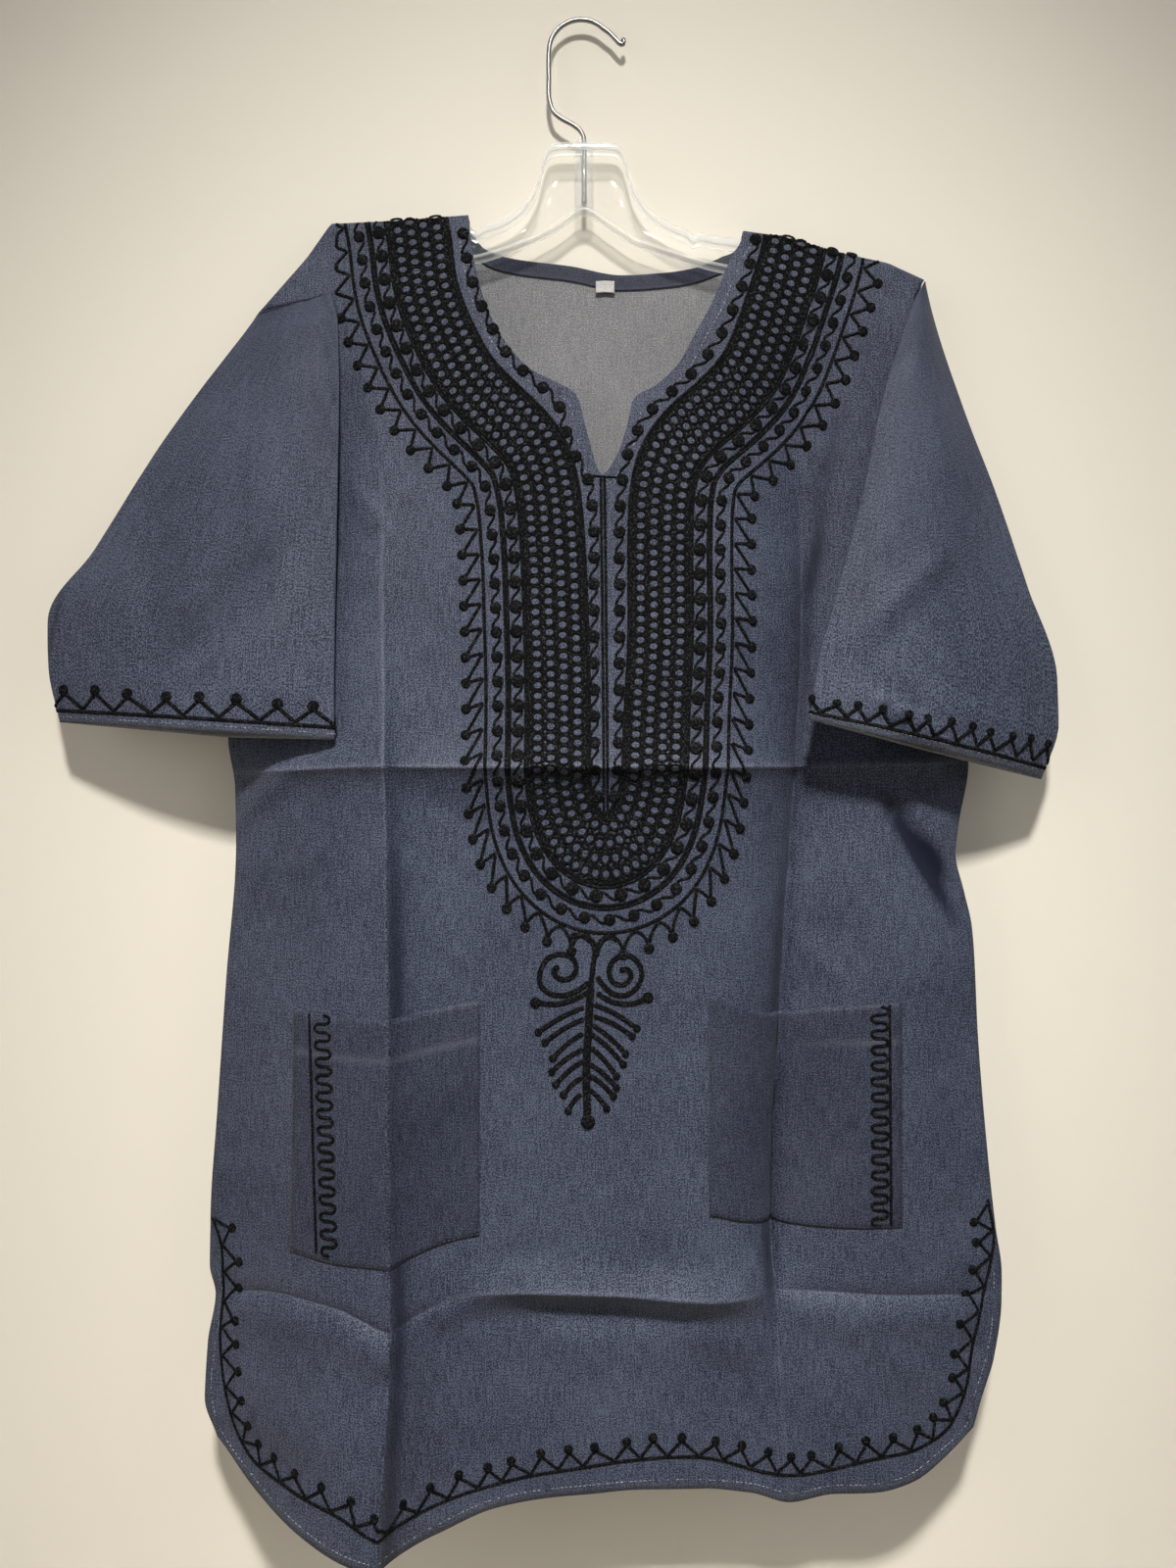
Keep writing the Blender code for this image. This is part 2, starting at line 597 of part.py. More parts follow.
def yoke_raise(x, z):
    """How much the outer face is raised under the yoke's net of yarn."""
    out = np.abs(x - CENTRE_X)
    away = np.full(x.shape, FAR_AWAY)
    for (o0, z0), (o1, z1) in zip(YOKE_BAND, YOKE_BAND[1:]):
        run = np.array([o1 - o0, z1 - z0])
        share = np.clip(((out - o0) * run[0] + (z - z0) * run[1]) / (run @ run), 0.0, 1.0)
        away = np.minimum(away, np.hypot(out - o0 - share * run[0], z - z0 - share * run[1]))
    return YOKE_RAISE * ease((YOKE_HALF_WIDTH - away) / YOKE_EDGE)


def shell(name, outer, inner, material, wrap=False):
    """A closed cloth wall between two grids of points, open at its edges only by its rim."""
    mesh = bmesh.new()
    rows, columns = outer.shape[:2]
    faces = []
    layers = [[[mesh.verts.new(Vector(p) * MM) for p in row] for row in grid]
              for grid in (outer, inner)]
    spans = columns if wrap else columns - 1
    for row in range(rows - 1):
        for col in range(spans):
            nxt = (col + 1) % columns
            for layer in layers:
                faces.append((layer[row][col], layer[row][nxt],
                              layer[row + 1][nxt], layer[row + 1][col]))
    ring = [(row, 0) for row in range(rows)]
    ring += [(rows - 1, col) for col in range(1, columns)]
    ring += [(row, columns - 1) for row in range(rows - 2, -1, -1)]
    ring += [(0, col) for col in range(columns - 2, 0, -1)]
    loops = [ring]
    if wrap:
        loops = [[(row, col) for col in range(columns)] for row in (0, rows - 1)]
    for loop in loops:
        for (row, col), (next_row, next_col) in zip(loop, loop[1:] + loop[:1]):
            faces.append((layers[0][row][col], layers[0][next_row][next_col],
                          layers[1][next_row][next_col], layers[1][row][col]))
    for face in faces:
        mesh.faces.new(face)
    bmesh.ops.recalc_face_normals(mesh, faces=mesh.faces)
    return finish(name, mesh, material)


def finish(name, mesh, material):
    """Turn a bmesh into a named object with its own material."""
    bmesh.ops.triangulate(mesh, faces=[f for f in mesh.faces if len(f.verts) > 3])
    data = bpy.data.meshes.new(name)
    mesh.to_mesh(data)
    mesh.free()
    thing = bpy.data.objects.new(name, data)
    bpy.context.scene.collection.objects.link(thing)
    data.materials.append(material)
    return thing


def material(name, kind):
    """A plain Principled material of one of the kinds in FINISHES."""
    colour, roughness, metallic = FINISHES[kind]
    made = bpy.data.materials.new(name)
    made.use_nodes = True
    shader = made.node_tree.nodes["Principled BSDF"]
    shader.inputs["Base Color"].default_value = colour
    shader.inputs["Roughness"].default_value = roughness
    shader.inputs["Metallic"].default_value = metallic
    made.diffuse_color = colour
    return made


def front_panel():
    """Front panel, and the grid that the pockets are made from."""
    x, z, marks = front_outline_grid()
    shape = x.shape
    forward = front_forward(x.ravel(), z.ravel()).reshape(shape)
    middle = np.stack([x, -forward, z], axis=2)
    normals = sheet_normals(lambda a, b: -front_forward(a, b), x, z)
    lift = WALL / 2 + yoke_raise(x, z)
    shell("front", middle + normals * lift[..., None], middle - normals * WALL / 2,
          material("chambray front", "cloth"))
    return middle, normals, marks


def pockets(middle, normals, marks):
    """Patch pockets, made from the front's own points and moved out."""
    starts = [sum(COLUMN_SPLITS[:i]) for i in range(len(COLUMN_NAMES))]
    place = dict(zip(COLUMN_NAMES, starts))
    rows = slice(marks["pocket top"], marks["pocket bottom"] + 1)
    for name, first, last in POCKETS:
        cells = (rows, slice(place[first], place[last] + 1))
        inner = middle[cells] + normals[cells] * (WALL / 2 + SEAM_GAP)
        shell(name, inner + normals[cells] * WALL, inner,
              material("chambray " + name, "cloth"))


def back_panel():
    """Back panel, and the grid that the neck facing is made from."""
    x, z = back_outline_grid()
    behind = back_behind(x.ravel(), z.ravel()).reshape(x.shape)
    middle = np.stack([x, behind, z], axis=2)
    normals = -sheet_normals(back_behind, x, z)
    shell("back", middle + normals * WALL / 2, middle - normals * WALL / 2,
          material("chambray back", "cloth"))
    return middle, normals


def neck_facing(middle, normals):
    """Facing strip turned to the inside of the back neck, and its folded label."""
    cells = (slice(0, FACING_ROWS + 2), FACING_COLUMNS)
    outer = middle[cells] - normals[cells] * (WALL / 2 + SEAM_GAP)
    shell("back_neck_facing", outer, outer - normals[cells] * FACING_WALL,
          material("chambray facing", "facing"))
    x, z = LABEL_PLACE
    depth = float(back_behind(x, z)[0]) - WALL / 2 - SEAM_GAP - FACING_WALL - SEAM_GAP
    mesh = bmesh.new()
    bmesh.ops.create_cube(mesh, size=1.0)
    thick = LABEL_SIZE[1]
    bmesh.ops.scale(mesh, vec=Vector(LABEL_SIZE) * MM, verts=mesh.verts)
    bmesh.ops.translate(mesh, vec=Vector((x, depth - thick / 2 - LABEL_CLEAR, z)) * MM, verts=mesh.verts)
    finish("neck_label", mesh, material("label tape", "label"))


def sleeve_first_ring(side, outward):
    """The ring along the armhole: butted at the shoulder and the back, lapped on the front."""
    corners = [np.array(point) for point in ARMHOLES[side]]
    points = []
    for leg, cells in enumerate(SLEEVE_LEGS):
        start, end = corners[leg], corners[(leg + 1) % 3]
        for k in range(cells):
            share = k / cells
            x, z = start + (end - start) * share
            ahead = -float(front_forward(x, z)[0])
            if leg == 0:
                lap = ease(share)
                points.append((x + outward * BUTT * (1 - lap), ahead - LAP * lap, z - BUTT))
            elif leg == 1:
                points.append((x, ahead - LAP, z))
            else:
                clear, swing = ease(CLEAR_RATE * share), ease(SWING_RATE * share)
                behind = float(back_behind(x, z)[0])
                depth = behind * swing + (ahead - LAP) * (1 - swing)
                points.append((x + outward * BUTT * clear, depth, z))
    return np.array(points)


def unit(vectors):
    """Vectors scaled to length one."""
    return vectors / np.linalg.norm(vectors, axis=-1, keepdims=True)


def tube_outward(middle):
    """Outward unit vectors for the flattened tube's rings: two flat layers and two folds."""
    front = SLEEVE_LEGS[0]
    across = np.roll(middle, -1, axis=1) - np.roll(middle, 1, axis=1)
    outward = unit(np.cross(unit(across), unit(np.gradient(middle, axis=0))))
    facing = np.ones(middle.shape[1])
    facing[:front] = -1.0
    outward *= np.where(outward[..., 1:2] * facing[:, None] < 0.0, -1.0, 1.0)
    for fold in (0, front):
        here = middle[:, fold]
        inward = unit(middle[:, fold - 1] - here) + unit(middle[:, fold + 1] - here)
        outward[:, fold] = -unit(inward)
    return outward


def sleeve_ring(table, t):
    """A closed ring of the flattened tube: front leg, then the two hidden legs."""
    read = [float(along(t, table, 0, i)) for i in range(1, 11)]
    out = np.array([read[0], read[2], read[1]])
    inn = np.array([read[3], read[5], read[4]])
    under = np.array([read[6], read[8], read[7]])
    bulge = read[9]
    points = []
    for leg, (a, b, cells) in enumerate(((out, inn, SLEEVE_LEGS[0]), (inn, under, SLEEVE_LEGS[1]),
                                         (under, out, SLEEVE_LEGS[2]))):
        for k in range(cells):
            share = k / cells
            point = a + (b - a) * share
            swell = math.sin(math.pi * share)
            point[1] += -bulge * swell if leg == 0 else HIDDEN_BULGE * t * swell
            points.append(point)
    return np.array(points)


def sleeve(side, table):
    """One sleeve as a flattened open tube from armhole to cuff."""
    outward = -1.0 if side == "left" else 1.0
    rings = [sleeve_first_ring(side, outward)]
    for k in range(1, SLEEVE_RINGS + 1):
        share = k / SLEEVE_RINGS
        rings.append(sleeve_ring(table, share ** RING_CROWDING))
    middle = np.array(rings)
    normals = tube_outward(middle)
    shell("sleeve_" + side, middle + normals * WALL / 2, middle - normals * WALL / 2,
          material("chambray sleeve " + side, "cloth"), wrap=True)


def sweep(name, path, radius, sides, made):
    """A round bar along a path in the X-Z plane, closed at both ends."""
    mesh = bmesh.new()
    path = [Vector((x, 0.0, z)) for x, z in path]
    rings = []
    for k, point in enumerate(path):
        before = path[max(k - 1, 0)]
        after = path[min(k + 1, len(path) - 1)]
        along_path = (after - before).normalized()
        side_way = Vector((0.0, 1.0, 0.0))
        other = along_path.cross(side_way)
        ring = []
        for step in range(sides):
            turn = 2 * math.pi * step / sides
            offset = side_way * math.cos(turn) + other * math.sin(turn)
            ring.append(mesh.verts.new((point + offset * radius) * MM))
        rings.append(ring)
    for low, high in zip(rings, rings[1:]):
        for step in range(sides):
            nxt = (step + 1) % sides
            mesh.faces.new((low[step], low[nxt], high[nxt], high[step]))
    mesh.faces.new(rings[0])
    mesh.faces.new(rings[-1])
    bmesh.ops.recalc_face_normals(mesh, faces=mesh.faces)
    return finish(name, mesh, made)


def hook():
    """Steel wire hook, from inside the hanger's boss to its curled tip."""
    start, end = [math.radians(a) for a in HOOK_ROUND]
    bend = []
    for k in range(HOOK_ROUND_STEPS + 1):
        turn = start + (end - start) * k / HOOK_ROUND_STEPS
        bend.append((HOOK_CENTRE[0] + HOOK_BEND * math.cos(turn),
                     HOOK_CENTRE[1] + HOOK_BEND * math.sin(turn)))
    sweep("hanger_hook", [*HOOK_NECK, *bend, *HOOK_TIP], WIRE_RADIUS, WIRE_SIDES,
          material("hook steel", "steel"))


def cylinder(name, radius, low, high, made):
    """An upright cylinder on the line of the hanger's boss."""
    mesh = bmesh.new()
    bmesh.ops.create_cone(mesh, cap_ends=True, segments=BOSS_SIDES, radius1=radius * MM,
                          radius2=radius * MM, depth=(high - low) * MM)
    bmesh.ops.translate(mesh, vec=Vector((BOSS_X, 0.0, (low + high) / 2)) * MM, verts=mesh.verts)
    return finish(name, mesh, made)


def hanger_body():
    """Clear hanger: a rimmed plate with two arms, and a boss that the hook turns in."""
    clear = material("clear plastic", "clear")
    mesh = bmesh.new()
    sections = []
    for x, top, low in HANGER_PROFILE:
        ring = [(-HANGER_HALF, low)]
        ring += [(-half, top - drop) for half, drop in reversed(HANGER_ROUND)]
        ring += [(0.0, top)]
        ring += [(half, top - drop) for half, drop in HANGER_ROUND]
        ring += [(HANGER_HALF, low)]
        sections.append([mesh.verts.new(Vector((x, y, z)) * MM) for y, z in ring])
    count = len(sections[0])
    flat = {0: [], count - 2: []}
    for near, far in zip(sections, sections[1:]):
        for k in range(count):
            nxt = (k + 1) % count
            face = mesh.faces.new((near[k], near[nxt], far[nxt], far[k]))
            if k in flat:
                flat[k].append(face)
    mesh.faces.new(sections[0])
    mesh.faces.new(sections[-1])
    bmesh.ops.recalc_face_normals(mesh, faces=mesh.faces)
    for side in flat.values():
        bmesh.ops.inset_region(mesh, faces=side, thickness=HANGER_RIM * MM,
                               use_even_offset=True, use_boundary=True)
        for vert in {v for face in side for v in face.verts}:
            vert.co.y -= math.copysign(HANGER_WEB_DROP * MM, vert.co.y)
    body = finish("hanger_body", mesh, clear)
    boss = cylinder("boss_form", BOSS_RADIUS, BOSS_Z[0], BOSS_Z[1], clear)
    bore = cylinder("bore_form", BORE_RADIUS, HOOK_NECK[0][1] - SEAM_GAP, BORE_TOP, clear)
    for tool, way in ((boss, "UNION"), (bore, "DIFFERENCE")):
        cut = body.modifiers.new(tool.name, "BOOLEAN")
        cut.operation, cut.solver, cut.object = way, "EXACT", tool
        tool.hide_render = True
        tool.display_type = "WIRE"
    return body


def clear_scene():
    """Start from an empty scene."""
    for thing in list(bpy.data.objects):
        bpy.data.objects.remove(thing, do_unlink=True)


def main():
    """Build every piece."""
    clear_scene()
    middle, normals, marks = front_panel()
    pockets(middle, normals, marks)
    neck_facing(*back_panel())
    sleeve("left", SLEEVE_LEFT)
    sleeve("right", SLEEVE_RIGHT)
    hanger_body()
    hook()


main()
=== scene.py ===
"""Dashiki shirt on a clear plastic top hanger: the finished cloth, embroidery, hanger and hook.

Tables are in millimetres, in the part's own frame: X across the shirt, +Y to its back, +Z up, and
the origin at the inside top of the hook's bend.  Only the yoke's row distances and pitches are in
another unit, which Yoke.scale turns into millimetres.  Meshes are in metres.
"""
import logging
import math
from collections.abc import Sequence
from dataclasses import dataclass, field
from enum import Enum

import bpy
import numpy as np
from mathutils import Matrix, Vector


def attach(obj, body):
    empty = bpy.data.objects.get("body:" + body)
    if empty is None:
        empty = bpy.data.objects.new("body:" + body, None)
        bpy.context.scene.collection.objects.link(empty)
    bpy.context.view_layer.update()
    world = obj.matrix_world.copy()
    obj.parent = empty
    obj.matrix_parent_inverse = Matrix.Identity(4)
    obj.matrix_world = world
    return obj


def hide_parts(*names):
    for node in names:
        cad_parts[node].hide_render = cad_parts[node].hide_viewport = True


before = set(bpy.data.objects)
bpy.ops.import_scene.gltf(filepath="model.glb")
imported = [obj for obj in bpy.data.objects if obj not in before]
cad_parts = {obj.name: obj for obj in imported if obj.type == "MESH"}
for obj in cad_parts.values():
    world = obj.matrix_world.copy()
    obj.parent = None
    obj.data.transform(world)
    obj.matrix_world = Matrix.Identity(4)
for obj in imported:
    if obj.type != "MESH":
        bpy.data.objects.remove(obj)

Array = np.ndarray
Paint = bpy.types.Material
Thing = bpy.types.Object
Table = Sequence[Sequence[float]]
Pair = tuple[float, float]
Triple = tuple[float, float, float]
Colour = Triple

MM = 0.001
ROOT = "root"
FOLD_END = 0.35  # the share of a fold's rise that is left at its ends
CREASE_POWER = 1.3  # how steeply a crease's sides fall off
FACE = 0.4  # from the middle of the body cloth to its face
ARM_Z = -372.7  # the underarm's height
# where the kinds of cloth begin in the flat map, beside the body's own X
FLAT_X = {"pocket": 900, "facing": 1500, "label": 1700, "sleeve": 2000}
LOG = logging.getLogger("dashiki")


# ---------------------------------------------------------------- curves and tables

def column(table: Table, index: int) -> Array:
    """One column of a table as an array."""
    return np.array([row[index] for row in table], dtype=float)


def ease(share: Array | float) -> Array:
    """Smooth step from 0 to 1: 3 s squared less 2 s cubed."""
    share = np.clip(share, 0, 1)
    return share * share * (3 - 2 * share)


def ordered(table: Table, give: int) -> tuple[Array, Array]:
    """A table's first column, rising, and another one in the same order."""
    keys, values = column(table, 0), column(table, give)
    order = np.argsort(keys)
    return keys[order], values[order]


def straight(value: Array | float, table: Table, give: int = 1) -> Array:
    """Straight-line reading of a table by its first column, which may fall or rise."""
    return np.interp(value, *ordered(table, give))


def plain(*values: Array | float) -> list[Array]:
    """Values as flat arrays of floats."""
    return [np.asarray(value, float).ravel() for value in values]


def between(low: Array | float, high: Array | float, share: Array | float) -> Array:
    """The value at a share of the way from low to high."""
    return low + (high - low) * share


def bell(away: Array, width: float) -> Array:
    """1 at zero, falling off to both sides over a width."""
    return np.exp(-(away / width) ** 2)


def hermite(t: Array, low: Array, high: Array, rise_in: Array, rise_out: Array) -> Array:
    """A cubic from low to high, at shares t of the way, with the rises of its two ends."""
    return (low * (1 + 2 * t) * (1 - t) ** 2 + high * t * t * (3 - 2 * t)
            + rise_in * t * (1 - t) ** 2 + rise_out * t * t * (t - 1))


def span(keys: Array, value: Array) -> Array:
    """The number of the span between rising keys that each value falls in."""
    return np.clip(np.searchsorted(keys, value, side="right") - 1, 0, len(keys) - 2)


def smooth(value: Array | float, table: Table, give: int = 1) -> Array:
    """Smooth reading of a table that never overshoots its rows (a monotone cubic).

    Args:
        value: where to read, in the unit of the table's first column.
        table: rows whose first column falls or rises.
        give: the column to read.

    Returns:
        The values, of the shape of value.
    """
    keys, values = ordered(table, give)
    gaps = np.diff(keys)
    rises = np.diff(values) / gaps
    slopes = np.zeros_like(values)
    same = rises[:-1] * rises[1:] > 0
    low, high = 2 * gaps[1:] + gaps[:-1], gaps[1:] + 2 * gaps[:-1]
    safe = np.where(same, rises[:-1] * rises[1:], 1)
    mean = (low + high) * safe / np.where(same, low * rises[1:] + high * rises[:-1], 1)
    slopes[1:-1] = np.where(same, mean, 0)
    slopes[0], slopes[-1] = rises[0], rises[-1]
    value = np.clip(np.asarray(value, float), keys[0], keys[-1])
    cell = span(keys, value)
    gap = gaps[cell]
    return hermite((value - keys[cell]) / gap, values[cell], values[cell + 1],
                   slopes[cell] * gap, slopes[cell + 1] * gap)


def smooth_profile(x: Array, knots: Array, heights: Array) -> Array:
    """Smooth curve through knots that differ from point to point, as arrays (points, knots)."""
    gaps = np.diff(knots, axis=1)
    rises = np.diff(heights, axis=1) / gaps
    slopes = np.empty_like(heights)
    slopes[:, 0], slopes[:, -1] = rises[:, 0], rises[:, -1]
    before, after = gaps[:, :-1], gaps[:, 1:]
    slopes[:, 1:-1] = (rises[:, :-1] * after + rises[:, 1:] * before) / (before + after)
    x = np.clip(x, knots[:, 0], knots[:, -1])
    cell = np.clip((knots <= x[:, None]).sum(axis=1) - 1, 0, knots.shape[1] - 2)
    rows = np.arange(len(x))
    gap = gaps[rows, cell]
    return hermite((x - knots[rows, cell]) / gap, heights[rows, cell], heights[rows, cell + 1],
                   slopes[rows, cell] * gap, slopes[rows, cell + 1] * gap)


def unit(vectors: Array) -> Array:
    """Vectors scaled to length one."""
    return vectors / np.maximum(np.linalg.norm(vectors, axis=-1, keepdims=True), 1e-9)


def arc_lengths(points: Array) -> Array:
    """Distance run along a polyline at each of its points."""
    steps = np.linalg.norm(np.diff(points, axis=0), axis=1)
    return np.concatenate([[0], np.cumsum(steps)])


def resample(points: Array, step: float) -> Array:
    """The same polyline with points a step apart."""
    run = arc_lengths(points)
    count = max(int(round(run[-1] / step)), 2)
    at = np.linspace(0, run[-1], count + 1)
    return np.stack([np.interp(at, run, points[:, k]) for k in range(points.shape[1])], axis=1)


def curve_through(points: Table, step: float = 1) -> Array:
    """Catmull-Rom curve through points, weighted by the chords, with samples a step apart."""
    knots = np.array(points, float)
    run = arc_lengths(knots)
    slopes = np.gradient(knots, run, axis=0, edge_order=1)
    at = np.linspace(0, run[-1], max(int(run[-1] / (step * 0.5)), 8))
    cell = span(run, at)
    gap = (run[cell + 1] - run[cell])[:, None]
    dense = hermite((at - run[cell])[:, None] / gap, knots[cell], knots[cell + 1],
                    slopes[cell] * gap, slopes[cell + 1] * gap)
    return resample(dense, step)


def leftwards(heading: Array) -> Array:
    """Plane directions turned a quarter to the left."""
    return np.stack([-heading[:, 1], heading[:, 0]], axis=1)


def headings(turns: Array) -> Array:
    """Plane directions at angles."""
    return np.stack([np.cos(turns), np.sin(turns)], axis=1)


def circle(count: int) -> Array:
    """Angles of points spread evenly round a circle."""
    return np.linspace(0, 2 * np.pi, count + 1)[:-1]


def offset_curve(line: Array, away: Array | float) -> Array:
    """A plane curve moved sideways, to the left of its direction, by a distance per point."""
    side = leftwards(unit(np.gradient(line, axis=0)))
    return line + side * np.broadcast_to(np.asarray(away, float), len(line))[:, None]


def blur(values: Array, reach: int) -> Array:
    """Running mean along the first axis, with the ends held."""
    padded = np.concatenate([np.repeat(values[:1], reach, axis=0), values,
                             np.repeat(values[-1:], reach, axis=0)])
    total = np.cumsum(np.concatenate([np.zeros_like(padded[:1]), padded]), axis=0)
    return (total[2 * reach + 1:] - total[:-2 * reach - 1]) / (2 * reach + 1)


# ---------------------------------------------------------------- mesh making

def make_mesh(name: str, points: Array, faces: list[Array], materials: list,
              slots: Array | None = None, maps: dict[str, Array] | None = None,
              floats: dict[str, Array] | None = None) -> Thing:
    """A mesh object from whole arrays.

    Args:
        name: the piece's name.
        points: (n, 3) places in millimetres.
        faces: arrays of point numbers, each of 3 or 4 columns.
        materials: the piece's materials, in slot order.
        slots: a material number for each face.
        maps: UV maps, each (n, 2), by name.
        floats: one number per point, by attribute name.

    Returns:
        The object, at the origin.
    """
    sizes = np.concatenate([np.full(len(f), f.shape[1]) for f in faces])
    loops = np.concatenate([f.ravel() for f in faces])
    data = bpy.data.meshes.new(name)
    data.vertices.add(len(points))
    data.vertices.foreach_set("co", (points * MM).astype(np.float32).ravel())
    data.loops.add(len(loops))
    data.loops.foreach_set("vertex_index", loops.astype(np.int32))
    data.polygons.add(len(sizes))
    starts = np.concatenate([[0], np.cumsum(sizes)[:-1]])
    data.polygons.foreach_set("loop_start", starts.astype(np.int32))
    if slots is not None:
        data.polygons.foreach_set("material_index", slots.astype(np.int32))
    data.update(calc_edges=True)
    data.validate()
    for label, values in (maps or {}).items():
        layer = data.uv_layers.new(name=label)
        layer.data.foreach_set("uv", values[loops].astype(np.float32).ravel())
    for label, values in (floats or {}).items():
        layer = data.attributes.new(label, "FLOAT", "POINT")
        layer.data.foreach_set("value", values.astype(np.float32).ravel())
    data.shade_smooth()
    for made in materials:
        data.materials.append(made)
    thing = bpy.data.objects.new(name, data)
    bpy.context.scene.collection.objects.link(thing)
    return thing


def grid_quads(rows: int, columns: int, start: int = 0, wrap: bool = False,
               flip: bool = False) -> Array:
    """Quads of a grid of points that are numbered row by row from start."""
    spans = columns if wrap else columns - 1
    row, col = np.meshgrid(np.arange(rows - 1), np.arange(spans), indexing="ij")
    after = (col + 1) % columns
    quads = np.stack([row * columns + col, row * columns + after,
                      (row + 1) * columns + after, (row + 1) * columns + col], axis=-1)
    quads = quads.reshape(-1, 4) + start
    return quads[:, ::-1] if flip else quads


def rim_quads(ring: Array, shift: int, flip: bool) -> Array:
    """Quads that join a closed ring of points to the same ring shift numbers on."""
    after = np.roll(ring, -1)
    quads = np.stack([ring, after, after + shift, ring + shift], axis=1)
    return quads[:, ::-1] if flip else quads


def cloth_wall(name: str, outer: Array, inner: Array, flat: Array, materials: list,
               wrap: bool = False, flip: bool = False,
               floats: dict[str, Array] | None = None) -> Thing:
    """A thin closed wall between an outer and an inner grid of points.

    Args:
        name: the piece's name.
        outer: (rows, columns, 3) points of the face side.
        inner: the same for the reverse side.
        flat: (rows, columns, 2) place in the flat cut, in millimetres.
        materials: the face's and the reverse's material.
        wrap: True if the grid's columns close into a tube.
        flip: True where rows by columns turn the face inwards.
        floats: one number per grid point, by attribute name.

    Returns:
        The object.
    """
    rows, columns = outer.shape[:2]
    count = rows * columns
    number = np.arange(count).reshape(rows, columns)
    faces = [grid_quads(rows, columns, 0, wrap, flip),
             grid_quads(rows, columns, count, wrap, not flip)]
    slots = [np.zeros(len(faces[0])), np.ones(len(faces[1]))]
    if wrap:
        rings = [(number[0], not flip), (number[-1], flip)]
    else:
        edge = np.concatenate([number[0, :], number[1:, -1], number[-1, -2::-1],
                               number[-2:0:-1, 0]])
        rings = [(edge, not flip)]
    for ring, turned in rings:
        faces.append(rim_quads(ring, count, turned))
        slots.append(np.zeros(len(faces[-1])))
    places = np.concatenate([flat.reshape(-1, 2)] * 2) * MM
    doubled = {k: np.concatenate([v.ravel()] * 2) for k, v in (floats or {}).items()}
    return make_mesh(name, np.concatenate([outer.reshape(-1, 3), inner.reshape(-1, 3)]), faces,
                     materials, np.concatenate(slots), {"cloth": places}, doubled)


def keep(thing: Thing, node: str = "") -> None:
    """Give a finished piece its place in the part.

    Args:
        thing: the piece, which moves with the root.
        node: the solid that it stands for, if there is one.
    """
    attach(thing, ROOT)
    if node:
        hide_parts(node)
    LOG.info("%s: %d faces", thing.name, len(thing.data.polygons))


# ---------------------------------------------------------------- the hanging form

@dataclass(frozen=True)
class Fold:
    """A soft ridge or trough along a short line on the cloth.

    A lee makes it a crease: its side to the right of the line's run falls off that steeply.
    """

    x0: float
    z0: float
    x1: float
    z1: float
    rise: float
    width: float
    lee: float = 0

    def height(self, x: Array, z: Array) -> Array:
        """Rise times a bell of the distance from the line, lower towards the line's ends."""
        run = np.array([self.x1 - self.x0, self.z1 - self.z0])
        share = np.clip(((x - self.x0) * run[0] + (z - self.z0) * run[1]) / (run @ run), 0, 1)
        away = np.hypot(x - self.x0 - share * run[0], z - self.z0 - share * run[1])
        taper = FOLD_END + (1 - FOLD_END) * np.sin(np.pi * share)
        if not self.lee:
            return self.rise * taper * bell(away, self.width)
        left = (z - self.z0) * run[0] - (x - self.x0) * run[1] > 0
        side = np.where(left, self.width, self.lee)
        return self.rise * taper * np.exp(-(away / side) ** CREASE_POWER)


def folds(*rows: Sequence[float]) -> tuple[Fold, ...]:
    """Folds from rows of their numbers."""
    return tuple(Fold(*row) for row in rows)


